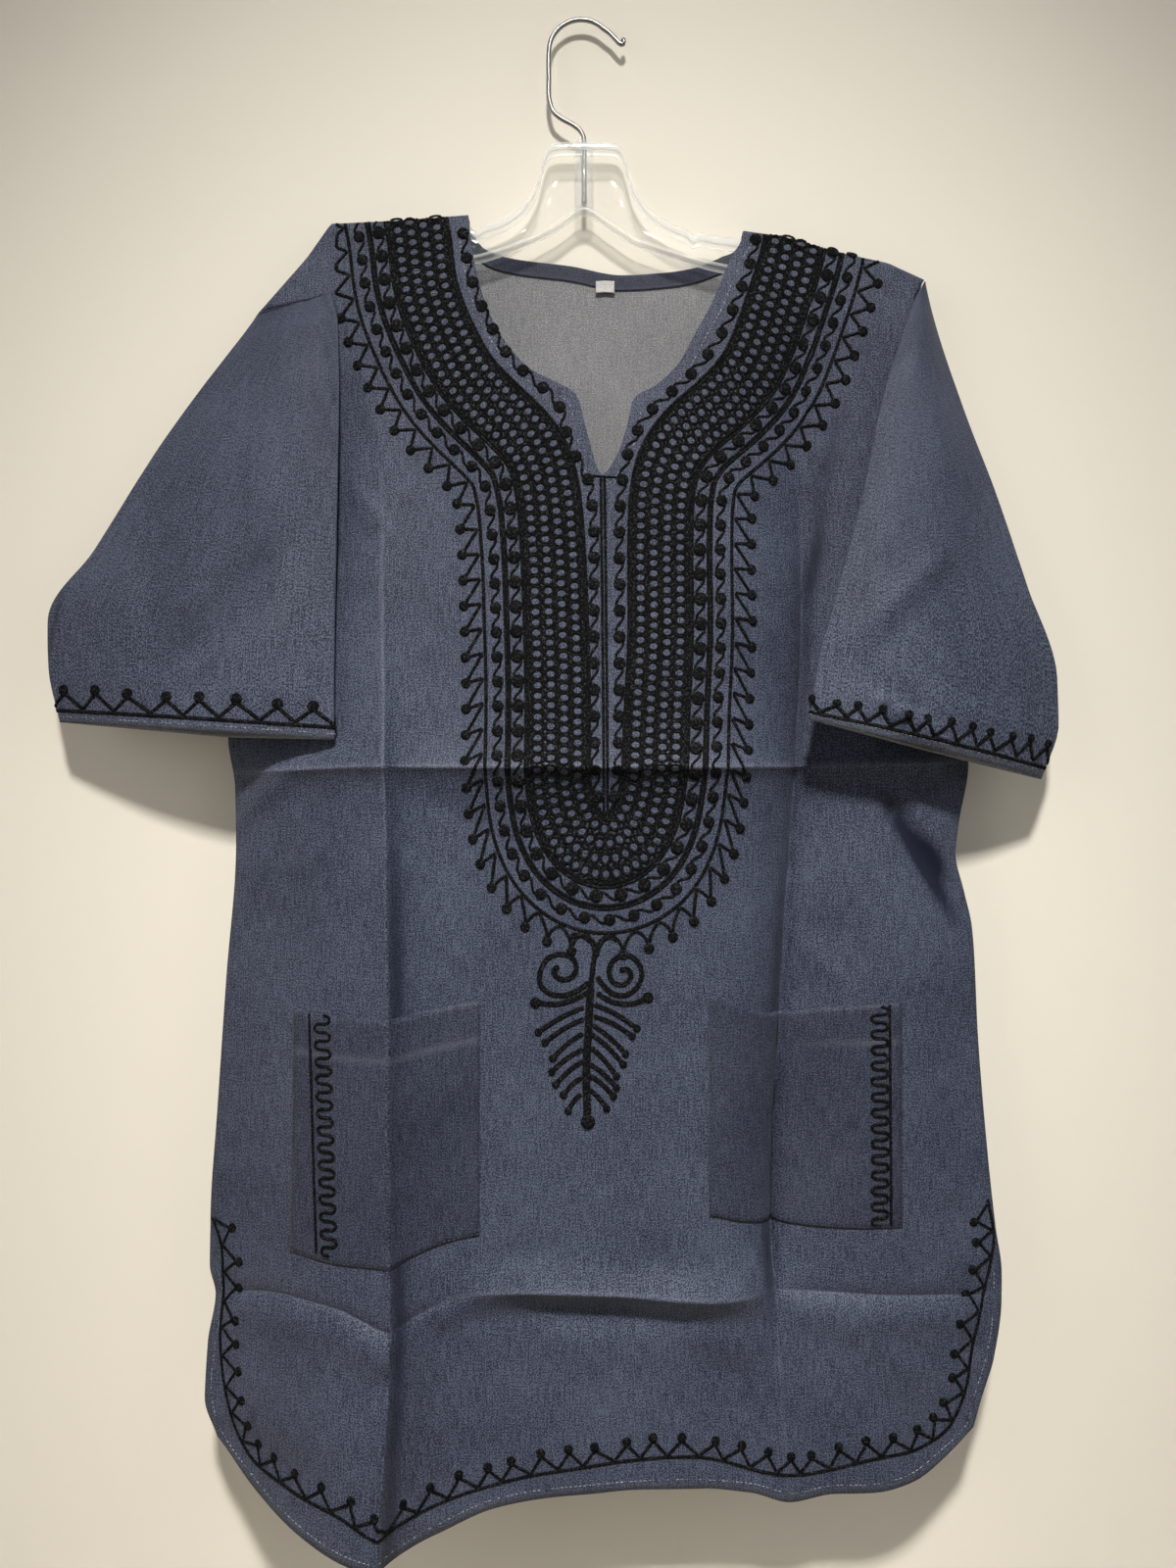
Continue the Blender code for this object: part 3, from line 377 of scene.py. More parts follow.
@dataclass
class HangingForm:
    """The shirt's hanging form: how far its front and back stand from the hanger's plane."""

    arm_roll: float = 6
    roll_end: float = 2
    seam_depth: float = 0.36
    settle_front: float = 55
    settle_back: float = 25
    centre_x: float = 17.6
    foot_offset: float = 30
    lip_offset: float = -32
    crease_start: float = 300
    crease_growth: float = 350
    valley_end: float = 850
    valley_fade: float = 60
    edge_calm: float = 40
    slope_step: float = 0.4
    back_parts: tuple[float, ...] = (-110, 15, 140)
    front_folds: Table = (
        # z, left, ridge, foot, middle, lip, valley, bulge, right
        (-140, 7, 9, 9, 10, 9, 7, 8, 7), (-192, 9, 10, 10.5, 12, 10.5, 6.5, 8, 8),
        (-300, 4.2, 15, 15, 18, 14, 5, 7, 3.8), (-372.7, 0.75, 22, 19, 21, 17, 5, 7.5, 0.75),
        (-517, 0.75, 34, 27, 30, 24, 6, 6.5, 0.75), (-680, 0.75, 42, 28, 31, 26, 6, 15, 0.75),
        (-827, 0.75, 47, 30, 29, 28, 13, 16, 0.75), (-875, 2, 50, 32, 28, 30, 18, 16, 2),
        (-940, 5, 55, 35, 30, 26, 20, 19, 6), (-1025, 12, 60, 39, 32, 28, 22, 21, 12))
    fold_lines: Table = (
        # z, ridge_x, valley_x
        (-140, -137.5, 155.8), (-372.7, -133.2, 154), (-517, -128.2, 148.8), (-680, -124.2, 139.1),
        (-827, -122.8, 131.7), (-875, -121.6, 133.1), (-1025, -128.2, 143.4))
    fold_creases: Table = (
        # forward, width on the left, width on the right: the ridge's and the valley's line
        (14, 18, 6), (-15, 6, 7))
    upper_crease: Table = (
        # x, z
        (-240, -521.5), (-124, -517.5), (83, -517.5), (206, -515.5), (270, -513))
    lower_crease: Table = (
        # x, z
        (-256, -882), (-190, -868.5), (-160, -869.5), (-121, -881), (-80, -871.8), (5, -866.5),
        (131, -873), (290, -882))
    upper_size: Triple = (8.5, 17, 9)
    lower_size: Triple = (12.5, 18, 11)
    lower_middle: Pair = (25, 105)
    lower_hollow: Triple = (-5, -17, 10)
    wrinkle_gain: float = 1.9
    loose_calm: float = 13
    least: float = 0.75
    deepest: float = 7
    deep_reach: float = 110
    lower_sides: tuple[Pair, Pair] = ((-4, 5), (3.5, 14))
    loose_folds: tuple[Fold, ...] = folds(
        (-234, -554, -189, -517, 7, 15, 6), (-236, -616, -193, -526, 5, 13, 7),
        (-196, -536, -180, -590, 2.5, 9), (216, -520, 262, -600, 8, 20, 10),
        (208, -526, 252, -614, -4, 9), (157.5, -325, 159, -172, 5, 3, 13),
        (156, -470, 150, -330, -4, 5), (152.8, -635.9, 182.1, -672, 3.5, 8))
    small_wrinkles: tuple[Fold, ...] = folds(
        (-158, -322, -134, -352, 0.9, 5), (-154, -352, -136, -372, -0.7, 4),
        (-150, -246, -136, -300, 0.8, 6), (100, -404, 128, -436, 0.9, 6),
        (108, -440, 130, -470, -0.8, 5), (96, -478, 126, -500, 0.8, 5),
        (-108, -534, -70, -560, -0.9, 8), (-96, -596, -74, -664, 0.8, 9),
        (-112, -886, -132, -930, -2, 8), (-108, -882, -86, -905, -1.6, 7),
        (-20, -906, 40, -912, 0.8, 11), (60, -898, 118, -934, -1, 10),
        (188, -900, 240, -936, 1, 10), (-214, -640, -222, -740, 1, 9),
        (232, -660, 246, -760, 1, 9), (60, -590, 96, -640, 0.8, 10),
        (20, -845, 100, -852, -0.8, 9), (-60, -850, -10, -842, -0.8, 8))
    back_folds: Table = (
        # z, left, left_part, middle, right_part, right
        (-140, 7, 9.5, 11, 9.5, 7), (-250, 6, 10, 12, 10, 6), (-372.7, 0.75, 10, 13, 11, 0.75),
        (-517, 0.75, 12, 15, 12, 0.75), (-680, 0.75, 12, 14, 13, 0.75),
        (-827, 0.75, 12, 13, 13, 0.75), (-940, 5, 13, 12, 14, 5), (-1025, 9, 14, 13, 15, 9))
    back_wrinkles: tuple[Fold, ...] = folds(
        (-92, -190, -104, -420, 0.7, 5), (4, -186, 14, -300, -1.6, 3),
        (28, -196, 20, -310, 1.4, 2.6), (-14, -196, 2, -300, 1.3, 3),
        (40, -190, 30, -290, -1.2, 3), (-160, -560, -130, -700, 0.9, 10),
        (120, -560, 150, -680, -0.9, 10), (40, -700, 60, -830, 0.8, 9))
    back_creases: Table = (
        # z, behind, half width: packing creases straight across the back
        (-517, 1.6, 5), (-876, 1.6, 5))
    back_centre_crease: Pair = (1.4, 4)
    shoulder: Table = (
        # x, z
        (-223.1, -203.7), (-188.4, -164.2), (-172.1, -141.1), (-130.6, -139.1), (-77.6, -135),
        (112.8, -145.9), (141.4, -149.9), (176, -160.1), (212.8, -168.3), (238, -179.9))
    left_edge: Table = (
        # z, x
        (-192.5, -170.8), (-372.7, -198.1), (-420, -228.9), (-496.8, -243.9), (-530.7, -239.1),
        (-570, -238.4), (-663.2, -245.2), (-752.8, -251.3), (-827.5, -256.1), (-861.1, -256.4),
        (-881, -252.1), (-914.4, -257.1), (-951.2, -258.5), (-976.7, -249.2))
    right_edge: Table = (
        # z, x
        (-179.9, 238), (-194, 230.5), (-372.7, 222), (-406.5, 229.5), (-447.2, 249.9),
        (-515.1, 268.9), (-557.2, 262.1), (-577.6, 260.1), (-601.4, 265.5), (-629.2, 271.6),
        (-705.3, 275.7), (-786.8, 282.5), (-836.4, 287.9), (-865.8, 291.7), (-885.7, 291.3),
        (-924.1, 285.2), (-951.2, 276), (-970.4, 270))

    def shoulder_roll(self, x: Array, z: Array, deep: Array, settle: float) -> Array:
        """Depth of cloth that rolls over the hanger's arm, a quarter round, and then settles."""
        below = np.maximum(straight(x, self.shoulder) - z, 0)
        roll = self.arm_roll - np.minimum(below, self.arm_roll)
        rolled = np.maximum(np.sqrt(self.arm_roll ** 2 - roll ** 2), self.seam_depth)
        return rolled + (deep - self.arm_roll) * ease((below - self.roll_end) / settle)

    @staticmethod
    def crease(away: Array, rise: float, before: float, after: float) -> Array:
        """A sharp line that falls off at one rate on its plus side and another beyond it."""
        return rise * np.exp(-np.abs(away) / np.where(away > 0, before, after))

    def upper_fold(self, x: Array, z: Array) -> Array:
        """The packing crease across the yoke's foot, a sharp ridge."""
        up = z - smooth(x, self.upper_crease)
        return self.crease(up, *self.upper_size)

    def lower_fold(self, x: Array, z: Array) -> Array:
        """The packing crease above the hem: a ridge over a hollow in the middle, and at the
        sides a nip with the cloth flaring out under it."""
        up = z - smooth(x, self.lower_crease)
        middle = np.exp(-((x - self.lower_middle[0]) / self.lower_middle[1]) ** 4)
        deep, down, reach = self.lower_hollow
        ridge = self.crease(up, *self.lower_size) + deep * bell(up - down, reach)
        (nip, narrow), (flare, wide) = self.lower_sides
        sides = nip * np.exp(-np.abs(up) / narrow) + flare * bell(up + wide, wide)
        return ridge * middle + sides * (1 - middle)

    def sides(self, z: Array) -> tuple[Array, Array]:
        """X of the left and of the right side edge at heights."""
        return smooth(z, self.left_edge), smooth(z, self.right_edge)

    @staticmethod
    def calm(x: Array, left: Array, right: Array, reach: float) -> Array:
        """1 inside the cloth, falling smoothly to 0 at its side edges over a reach."""
        return ease((x - left) / reach) * ease((right - x) / reach)

    @staticmethod
    def heights(z: Array, table: Table) -> Array:
        """Every column of a table of folds after the first, read at heights."""
        return np.stack([smooth(z, table, i) for i in range(1, len(table[0]))], axis=1)

    def front(self, x: Array, z: Array) -> Array:
        """How far forward the front's middle stands: a smooth profile across the fold lines,
        with sharp creases along and across it and loose folds added."""
        x, z = plain(x, z)
        ridge, valley = smooth(z, self.fold_lines, 1), smooth(z, self.fold_lines, 2)
        left, right = self.sides(z)
        knots = np.stack([left, ridge, ridge + self.foot_offset, np.full_like(x, self.centre_x),
                          valley + self.lip_offset, valley, (valley + right) / 2, right], axis=1)
        forward = smooth_profile(x, knots, self.heights(z, self.front_folds))
        grown = ease((-z - self.crease_start) / self.crease_growth)
        open_foot = 1 - ease((-z - self.valley_end) / self.valley_fade)
        for line, size, share in zip((ridge, valley), self.fold_creases, (1, open_foot)):
            forward += grown * share * self.crease(line - x, *size)
        inside = self.calm(x, left, right, self.edge_calm)
        forward += inside * (self.upper_fold(x, z) + self.lower_fold(x, z))
        for fold in self.small_wrinkles:
            forward += inside * self.wrinkle_gain * fold.height(x, z)
        near = self.calm(x, left, right, self.loose_calm)
        for fold in self.loose_folds:
            forward += near * fold.height(x, z)
        within = ease(np.minimum(x - left, right - x) / self.deep_reach)
        forward = np.maximum(forward, self.least - self.deepest * within)
        return self.shoulder_roll(x, z, forward, self.settle_front)

    def back(self, x: Array, z: Array) -> Array:
        """How far behind the hanger's plane the back's middle lies."""
        x, z = plain(x, z)
        left, right = self.sides(z)
        knots = np.stack([left, *(np.full_like(x, part) for part in self.back_parts), right],
                         axis=1)
        behind = smooth_profile(x, knots, self.heights(z, self.back_folds))
        inside = self.calm(x, left, right, self.edge_calm)
        for level, rise, width in self.back_creases:
            behind += rise * inside * np.exp(-np.abs(z - level) / width)
        rise, width = self.back_centre_crease
        low = ease((-z - self.crease_start) / self.crease_growth)
        behind += rise * low * np.exp(-np.abs(x - self.centre_x) / width)
        for fold in self.back_wrinkles:
            behind += inside * fold.height(x, z)
        return self.shoulder_roll(x, z, behind, self.settle_back)


class Side(Enum):
    """Which layer of the shirt, by the way its face looks along Y."""

    FRONT = -1
    BACK = 1


@dataclass
class Layer:
    """The front or the back as a height field that other work lies on."""

    form: HangingForm
    side: Side

    def depth(self, x: Array, z: Array) -> Array:
        """The layer's Y, in millimetres."""
        if self.side is Side.FRONT:
            return -self.form.front(x, z)
        return self.form.back(x, z)

    def place(self, x: Array, z: Array) -> tuple[Array, Array]:
        """Points of the layer's middle, and unit normals to its face side, from its slopes.

        Args:
            x: across the shirt, of any shape.
            z: height, of the same shape.

        Returns:
            The points and the normals, each with a last axis of three.
        """
        shape, step = np.shape(x), self.form.slope_step
        x, z = plain(x, z)
        y = self.depth(x, z)
        across = (self.depth(x + step, z) - self.depth(x - step, z)) / (2 * step)
        upward = (self.depth(x, z + step) - self.depth(x, z - step)) / (2 * step)
        normals = unit(np.stack([-across, np.ones_like(x), -upward], axis=1)) * self.side.value
        return (np.stack([x, y, z], axis=1).reshape(*shape, 3),
                normals.reshape(*shape, 3))


# ---------------------------------------------------------------- shader nodes

class Socket:
    """An output of a shader node that can be reckoned with like a number."""

    def __init__(self, tree: bpy.types.NodeTree, output: bpy.types.NodeSocket) -> None:
        self.tree = tree
        self.output = output

    def math(self, operation: str, *others: "Socket | float", first: bool = True) -> "Socket":
        """A Math node of this socket and others; first=False puts this one last."""
        node = self.tree.nodes.new("ShaderNodeMath")
        node.operation = operation
        terms = (self, *others) if first else (*others, self)
        for slot, term in zip(node.inputs, terms):
            join(self.tree, term, slot)
        return Socket(self.tree, node.outputs[0])

    def __add__(self, other: "Socket | float") -> "Socket":
        return self.math("ADD", other)

    def __sub__(self, other: "Socket | float") -> "Socket":
        return self.math("SUBTRACT", other)

    def __rsub__(self, other: float) -> "Socket":
        return self.math("SUBTRACT", other, first=False)

    def __mul__(self, other: "Socket | float") -> "Socket":
        return self.math("MULTIPLY", other)

    def clamp(self) -> "Socket":
        """This number held between 0 and 1."""
        return self.math("MINIMUM", 1).math("MAXIMUM", 0)

    def band(self, low: float, high: float) -> "Socket":
        """0 below low, 1 above high, and a smooth step between."""
        node = self.tree.nodes.new("ShaderNodeMapRange")
        node.interpolation_type = "SMOOTHSTEP"
        join(self.tree, self, node.inputs["Value"])
        node.inputs["From Min"].default_value = low
        node.inputs["From Max"].default_value = high
        return Socket(self.tree, node.outputs[0])


def join(tree: bpy.types.NodeTree, source: object, target: bpy.types.NodeSocket) -> None:
    """Feed a socket from another one, or from a plain number or colour."""
    if isinstance(source, Socket):
        tree.links.new(source.output, target)
    elif isinstance(source, tuple) and len(source) == 3 and target.type == "RGBA":
        target.default_value = (*source, 1)
    else:
        target.default_value = source


@dataclass(frozen=True)
class Finish:
    """A surface: its colour, how rough it is, and what is constant all over it."""

    name: str
    colour: Colour
    roughness: float
    metallic: float = 0
    sheen: float = 0
    coat: float = 0
    specular: float = 0.5


class Material:
    """A node material in the making."""

    def __init__(self, finish: Finish) -> None:
        self.made = bpy.data.materials.new(finish.name)
        self.made.use_nodes = True
        self.tree = self.made.node_tree
        self.shader = self.tree.nodes["Principled BSDF"]
        constants = {"Roughness": finish.roughness, "Metallic": finish.metallic,
                     "Sheen Weight": finish.sheen, "Coat Weight": finish.coat,
                     "Specular IOR Level": finish.specular,
                     "Base Color": (*finish.colour, 1)}
        for label, value in constants.items():
            self.shader.inputs[label].default_value = value
        self.made.diffuse_color = (*finish.colour, 1)

    def node(self, kind: str, output: int | str = 0, settings: dict | None = None,
             **inputs: object) -> Socket:
        """A node of a kind, with its settings and its inputs filled.

        Args:
            kind: the node's type without its ShaderNode in front.
            output: which output to give back.
            settings: properties of the node itself.
            inputs: a socket, number or colour for each input, by name, with _ for a space.

        Returns:
            The output asked for.
        """
        node = self.tree.nodes.new("ShaderNode" + kind)
        for label, value in (settings or {}).items():
            setattr(node, label, value)
        for label, value in inputs.items():
            join(self.tree, value, node.inputs[label.replace("_", " ")])
        return Socket(self.tree, node.outputs[output])

    def feed(self, label: str, source: Socket) -> None:
        """Feed one of the shader's own inputs."""
        self.tree.links.new(source.output, self.shader.inputs[label])

    def cloth_place(self) -> Socket:
        """The place in the flat cut, in metres."""
        return self.node("UVMap", settings={"uv_map": "cloth"})

    def object_place(self) -> Socket:
        """The place in the part's own frame."""
        return self.node("TexCoord", "Object")

    def scaled(self, place: Socket, factors: Triple) -> Socket:
        """A place scaled by axis."""
        node = self.tree.nodes.new("ShaderNodeVectorMath")
        node.operation = "MULTIPLY"
        self.tree.links.new(place.output, node.inputs[0])
        node.inputs[1].default_value = factors
        return Socket(self.tree, node.outputs[0])

    def noise(self, place: Socket, size: float, detail: float = 2) -> Socket:
        """Noise from 0 to 1 with features of about a size in metres."""
        return self.node("TexNoise", Vector=place, Scale=1 / size, Detail=detail)

    def mark(self, label: str) -> Socket:
        """A number kept on the mesh's points."""
        return self.node("Attribute", "Fac", settings={"attribute_name": label})

    def mix(self, share: Socket | float, low: object, high: object) -> Socket:
        """Colour between low and high."""
        node = self.tree.nodes.new("ShaderNodeMix")
        node.data_type = "RGBA"
        join(self.tree, share, node.inputs[0])
        join(self.tree, low, node.inputs[6])
        join(self.tree, high, node.inputs[7])
        return Socket(self.tree, node.outputs[2])

    def bump(self, height: Socket, strength: float, distance: float) -> None:
        """Set the shader's normal from a height."""
        self.feed("Normal", self.node("Bump", Height=height, Strength=strength,
                                      Distance=distance))


@dataclass(frozen=True)
class Chambray:
    """Blue chambray: pale weft on a blue warp, so that the cloth is finely mottled.

    Attributes:
        fade: the pale colour where the mesh is marked as worn or as lit by painted highlight;
            where the mark is below zero the dye is darkened instead, as painted shade.
        weights: how much speck, warp, weft, patches and blotches turn the dye to the light.
        slubs: how the speck is stretched for the warp's slubs and for the weft's.
    """

    name: str
    dark: Colour
    light: Colour
    fade: Colour
    marks: bool = True
    roughness: float = 0.66
    sheen: float = 0.02
    specular: float = 0.27
    speck: float = 0.0009
    blotch: float = 0.011
    patch: float = 0.07
    weights: tuple[float, ...] = (3.6, 1.2, 0.8, 0.55, 0.15)
    base: float = 0.39
    slubs: tuple[Triple, Triple] = ((1, 0.06, 1), (0.1, 1, 1))
    pale_mark_speck: float = 0.7
    pale_mark_base: float = 0.65
    bump: float = 0.35
    bump_depth: float = 0.00025

    def make(self) -> Paint:
        """The cloth: speckle, slubs both ways, soft patches, and where it is marked, paler for
        wear and painted highlight and darker for painted shade.
        """
        made = Material(Finish(self.name, self.dark, self.roughness, sheen=self.sheen,
                               specular=self.specular))
        place = made.cloth_place()
        speck = made.noise(place, self.speck, 1)
        warp, weft = (made.noise(made.scaled(place, along), self.speck) for along in self.slubs)
        noises = (speck, warp, weft, made.noise(place, self.patch, 3),
                  made.noise(place, self.blotch))
        parts = [(noise - 0.5) * weight for noise, weight in zip(noises, self.weights)]
        share = (sum(parts[1:], parts[0]) + self.base).clamp()
        colour = made.mix(share, self.dark, self.light)
        # Marks above zero turn the colour pale: wear at the edges and painted highlight along the
        # creases; marks below zero darken it: painted shade along the folds.
        if self.marks:
            mark = made.mark("fade")
            worn = (mark * (speck * self.pale_mark_speck + self.pale_mark_base)).clamp()
            colour = made.mix(worn, colour, self.fade)
            colour = made.mix((mark * -1).clamp(), colour, self.dark)
        made.feed("Base Color", colour)
        made.bump((warp + weft) * 0.5 + speck * 0.5, self.bump, self.bump_depth)
        return made.made


# ---------------------------------------------------------------- cloth pieces

@dataclass
class ClothGrid:
    """A panel's grid of points with its face normals, kept for what is sewn on it."""

    x: Array
    z: Array
    middle: Array
    normals: Array
    marks: dict[str, int]


@dataclass(frozen=True)
class WearAndPaintedLight:
    """Where the body cloth is marked pale: worn along the hem, and lit by painted highlight along
    the creases and the fold lines; and with a minus, where painted shade darkens it.

    Attributes:
        hem: strength and half width of the pale line along the hem.
        crease_highlight_strengths: of the painted highlight over the upper and over the lower
            packing crease.
        crease_highlight: how far above a crease its painted highlight lies, and its half width.
        middle: how much of a crease's strength is in the middle only, where, and how wide.
        fold_highlight_strengths: of the painted highlight along the ridge's and the valley's line.
        fold_highlight: how far beside a fold line its painted highlight lies, and its half width.
        fold_highlight_start: the height below the hook at which the fold lines' painted highlight
            begins.
        fold_highlight_growth: how far below that it is whole.
    """

    hem: Pair = (0.18, 1.5)
    crease_highlight_strengths: Pair = (0.22, 0.14)
    crease_highlight: Pair = (0.6, 1.6)
    middle: Triple = (0.4, 10, 90)
    fold_highlight_strengths: Pair = (0.2, 0.1)
    fold_highlight: Pair = (-0.3, 1.1)
    fold_highlight_start: float = 260
    fold_highlight_growth: float = 160
    painted_shade_growth: float = 180
    painted_shade_lines: Table = (
        # the fold line, beside it, half width, strength, start: where painted shade darkens the
        # cloth beside the ridge and the valley
        (1, 4.5, 4.5, 0.75, 480), (2, -4.5, 5, 0.68, 520))
    # painted shade: the shadowed inside of the deep fold under the right sleeve, and the pleat
    # beside that sleeve's inner edge
    painted_shade_folds: tuple[Fold, ...] = folds(
        (209, -536, 258, -622, 1.7, 4.6), (233, -566, 250, -592, 1.5, 5.5),
        (167, -344, 158, -400, 1, 5.5), (159, -390, 152, -520, 0.6, 4.5),
        (182, -262, 160, -352, 0.5, 5))

    def marks(self, cloth: ClothGrid, panel: "FrontPanel | BackPanel") -> Array:
        """The mark at each point of a panel's grid."""
        form, x, z = panel.layer.form, cloth.x, cloth.z
        strength, width = self.hem
        fade = strength * bell(z - smooth(x, panel.hem), width)
        if panel.layer.side is Side.BACK:
            return fade
        # Painted highlight: pale lines just above the packing creases and along the ridge's and
        # the valley's fold lines, where those folds catch the lamps.
        gain, centre, reach = self.middle
        middle = 1 - gain + gain * bell(x - centre, reach)
        above, width = self.crease_highlight
        for line, strength in zip((form.upper_crease, form.lower_crease), self.crease_highlight_strengths):
            fade = fade + strength * bell(z - smooth(x, line) - above, width) * middle
        grown = ease((-z - self.fold_highlight_start) / self.fold_highlight_growth)
        aside, width = self.fold_highlight
        for index, strength in enumerate(self.fold_highlight_strengths, 1):
            away = x - smooth(z, form.fold_lines, index) - aside
            fade = fade + strength * grown * bell(away, width)
        # Painted shade: darker bands beside the ridge's and the valley's fold lines, where the
        # folds' steep sides turn away from the lamps.
        foot = ease((-z - form.valley_end) / form.valley_fade)
        for index, aside, width, strength, start in self.painted_shade_lines:
            away = x - smooth(z, form.fold_lines, index) - aside
            run = ease((-z - start) / self.painted_shade_growth) * (1 - foot * (index - 1))
            fade = fade - strength * run * bell(away, width)
        # Painted shadow in the folds under the right sleeve.
        for fold in self.painted_shade_folds:
            fade = fade - fold.height(x, z)
        return fade


def gathered(count: int, at_start: bool, at_end: bool, power: float = 1.5) -> Array:
    """Shares from 0 to 1, closer together at an end that is a crease."""
    share = np.linspace(0, 1, count + 1)
    if at_start:
        share = share ** power
    if at_end:
        share = 1 - (1 - share) ** power
    return share


def split_line(anchors: Sequence[float], splits: Sequence[int], fine: int,
               creases: Sequence[int] = ()) -> Array:
    """Values at the main columns, spread over the cells between them, and closer together
    beside the anchors that are creases."""
    parts = [between(low, high, gathered(cells * fine, i in creases, i + 1 in creases)[:-1])
             for i, (low, high, cells) in enumerate(zip(anchors, anchors[1:], splits))]
    return np.append(np.concatenate(parts), anchors[-1])


def top_line(x: Array, neck: Table, form: HangingForm) -> Array:
    """Height of a panel's top: its neckline, and the shoulder on both sides of it."""
    inside = (x > neck[0][0]) & (x < neck[-1][0])
    return np.where(inside, smooth(x, neck), straight(x, form.shoulder))


def roll_shares(radius: float, height: float, steps: int = 7) -> Array:
    """Shares of a height at which rows lie where cloth rolls over a hanger's arm."""
    turns = np.linspace(0, math.pi / 2, steps)
    return radius * (1 - np.cos(turns)) / height


def after_rolls(rolls: Array, shares: Array, gap: float = 1.3) -> Array:
    """The rolls' shares, and after a gap those of the even rows below them."""
    return np.concatenate([rolls, shares[shares > rolls[-1] * gap]])


@dataclass
class FrontPanel:
    """The front: its outline, its grid and its cloth."""

    layer: Layer
    fine: int = 4
    wall: float = 0.8
    cut: Pair = (0.56, 0.89)
    row_gap: float = 4.4
    least_rows: int = 3
    corner_share: float = 0.3
    neck: Table = (
        # x, z
        (-77.6, -135), (-76.8, -141.2), (-73.6, -164.9), (-64.5, -200.3), (-51.5, -226.2),
        (-32.6, -246.7), (-15.2, -255.7), (-1.9, -264.7), (4.1, -287.3), (14.7, -318.8),
        (26.7, -302.2), (32.7, -282), (36, -267.4), (51.3, -257.7), (66.1, -243.7), (80.4, -217.8),
        (90, -200.3), (97.6, -181.3), (105.3, -163.5), (112, -152.2), (112.8, -145.9))
    hem: Table = (
        # x, z
        (-249.2, -976.7), (-218.8, -1000.3), (-181.8, -1016.2), (-128.2, -1028.3),
        (-95.2, -1025.3), (-57.7, -1014.3), (-0.5, -1003), (44, -999.6), (82.2, -999.5),
        (113.6, -1003.9), (143.1, -1013.6), (171.4, -1008.7), (202.2, -1007.5), (226.6, -1001.9),
        (247.9, -988.8), (270, -970.4))
    top_anchors: tuple[float, ...] = (-223.1, -188.4, -172.1, -137.5, -77.6, -76.8, -67.5, 14.7,
                                      86, 112, 112.8, 155.8, 209.4, 238)
    top_splits: tuple[int, ...] = (2, 2, 2, 4, 1, 1, 7, 6, 2, 1, 3, 4, 3)
    splits: tuple[int, ...] = (2, 2, 2, 4, 2, 7, 6, 3, 3, 4, 3)
    creases: tuple[int, ...] = (3, 9)
    corner_row: Table = ((-170.8, -192.5), (-160, -187.5), (-149, -194))
    columns: Table = (
        # c1, c2, ridge, neck_l, pocket_l, mid, pocket_r, neck_r, valley, c7
        (-178, -160, -133.2, -92, -67.5, 14.7, 86, 118, 154, 200),
        (-191.5, -160, -128.2, -90, -67.5, 12, 86, 116, 148.8, 219.5),
        (-191.5, -158, -124.2, -90, -67.5, 10, 86, 112, 139.1, 219.5),
        (-191.5, -158, -122.8, -90, -67.5, 10, 86, 109, 131.7, 219.5),
        (-193, -158, -121.6, -90, -67, 10, 86, 109, 133.1, 220),
        (-205, -165, -128.2, -92, -60, 12, 86, 112, 143.4, 218))
    pocket_top: Table = (
        # x, z
        (-245, -682), (-191.5, -680.2), (-158, -681.4), (-122, -681.6), (-90, -678),
        (-67.5, -674.5), (10, -672), (86, -669), (112, -681), (139.5, -686.5), (170, -682),
        (219.5, -677.7), (275, -678))
    pocket_bottom: Table = (
        # x, z
        (-256, -842), (-191.5, -839), (-158, -841.5), (-122, -841.3), (-90, -836), (-67.5, -833),
        (10, -826), (86, -817.5), (109, -824), (132, -829.4), (175, -832), (219.5, -831),
        (290, -834))

    def main_rows(self) -> list[tuple[Array, Array]]:
        """X and Z of the main rows, from the shoulder down to the hem."""
        form = self.layer.form
        top_x = split_line(self.top_anchors, self.top_splits, self.fine, (3, 11))
        top_z = top_line(top_x, self.neck, form)
        edges = (form.left_edge, form.right_edge)
        under = [self.edge_x(edge, ARM_Z) for edge in edges]
        arm_x = split_line([under[0], *self.columns[0], under[1]], self.splits, self.fine,
                           self.creases)
        rows = [(top_x, top_z), self.corner(top_x, top_z, arm_x),
                (arm_x, np.full_like(arm_x, ARM_Z))]
        lines = (form.upper_crease, self.pocket_top, self.pocket_bottom, form.lower_crease)
        for line, inner in zip(lines, self.columns[1:]):
            ends = [self.edge_x(edge, line[end][1]) for edge, end in zip(edges, (0, -1))]
            row_x = split_line([ends[0], *inner, ends[1]], self.splits, self.fine, self.creases)
            rows.append((row_x, smooth(row_x, line)))
        hem_x = split_line([self.hem[0][0], *self.columns[-1], self.hem[-1][0]], self.splits,
                           self.fine, self.creases)
        rows.append((hem_x, smooth(hem_x, self.hem)))
        return rows

    @staticmethod
    def edge_x(edge: Table, z: float) -> float:
        """Where a side edge is at a height."""
        return float(smooth(z, edge))

    def corner(self, top_x: Array, top_z: Array, arm_x: Array) -> tuple[Array, Array]:
        """The row through the left armhole's corner."""
        share = self.corner_share
        row = between(top_x, arm_x, share), between(top_z, ARM_Z, share)
        places = np.cumsum((0, *self.splits[:3])) * self.fine
        ridge = places[-1]
        for index, part in enumerate(row):
            spots = [*column(self.corner_row, index), part[ridge]]
            part[:ridge] = np.interp(np.arange(ridge), places, spots)
        return row

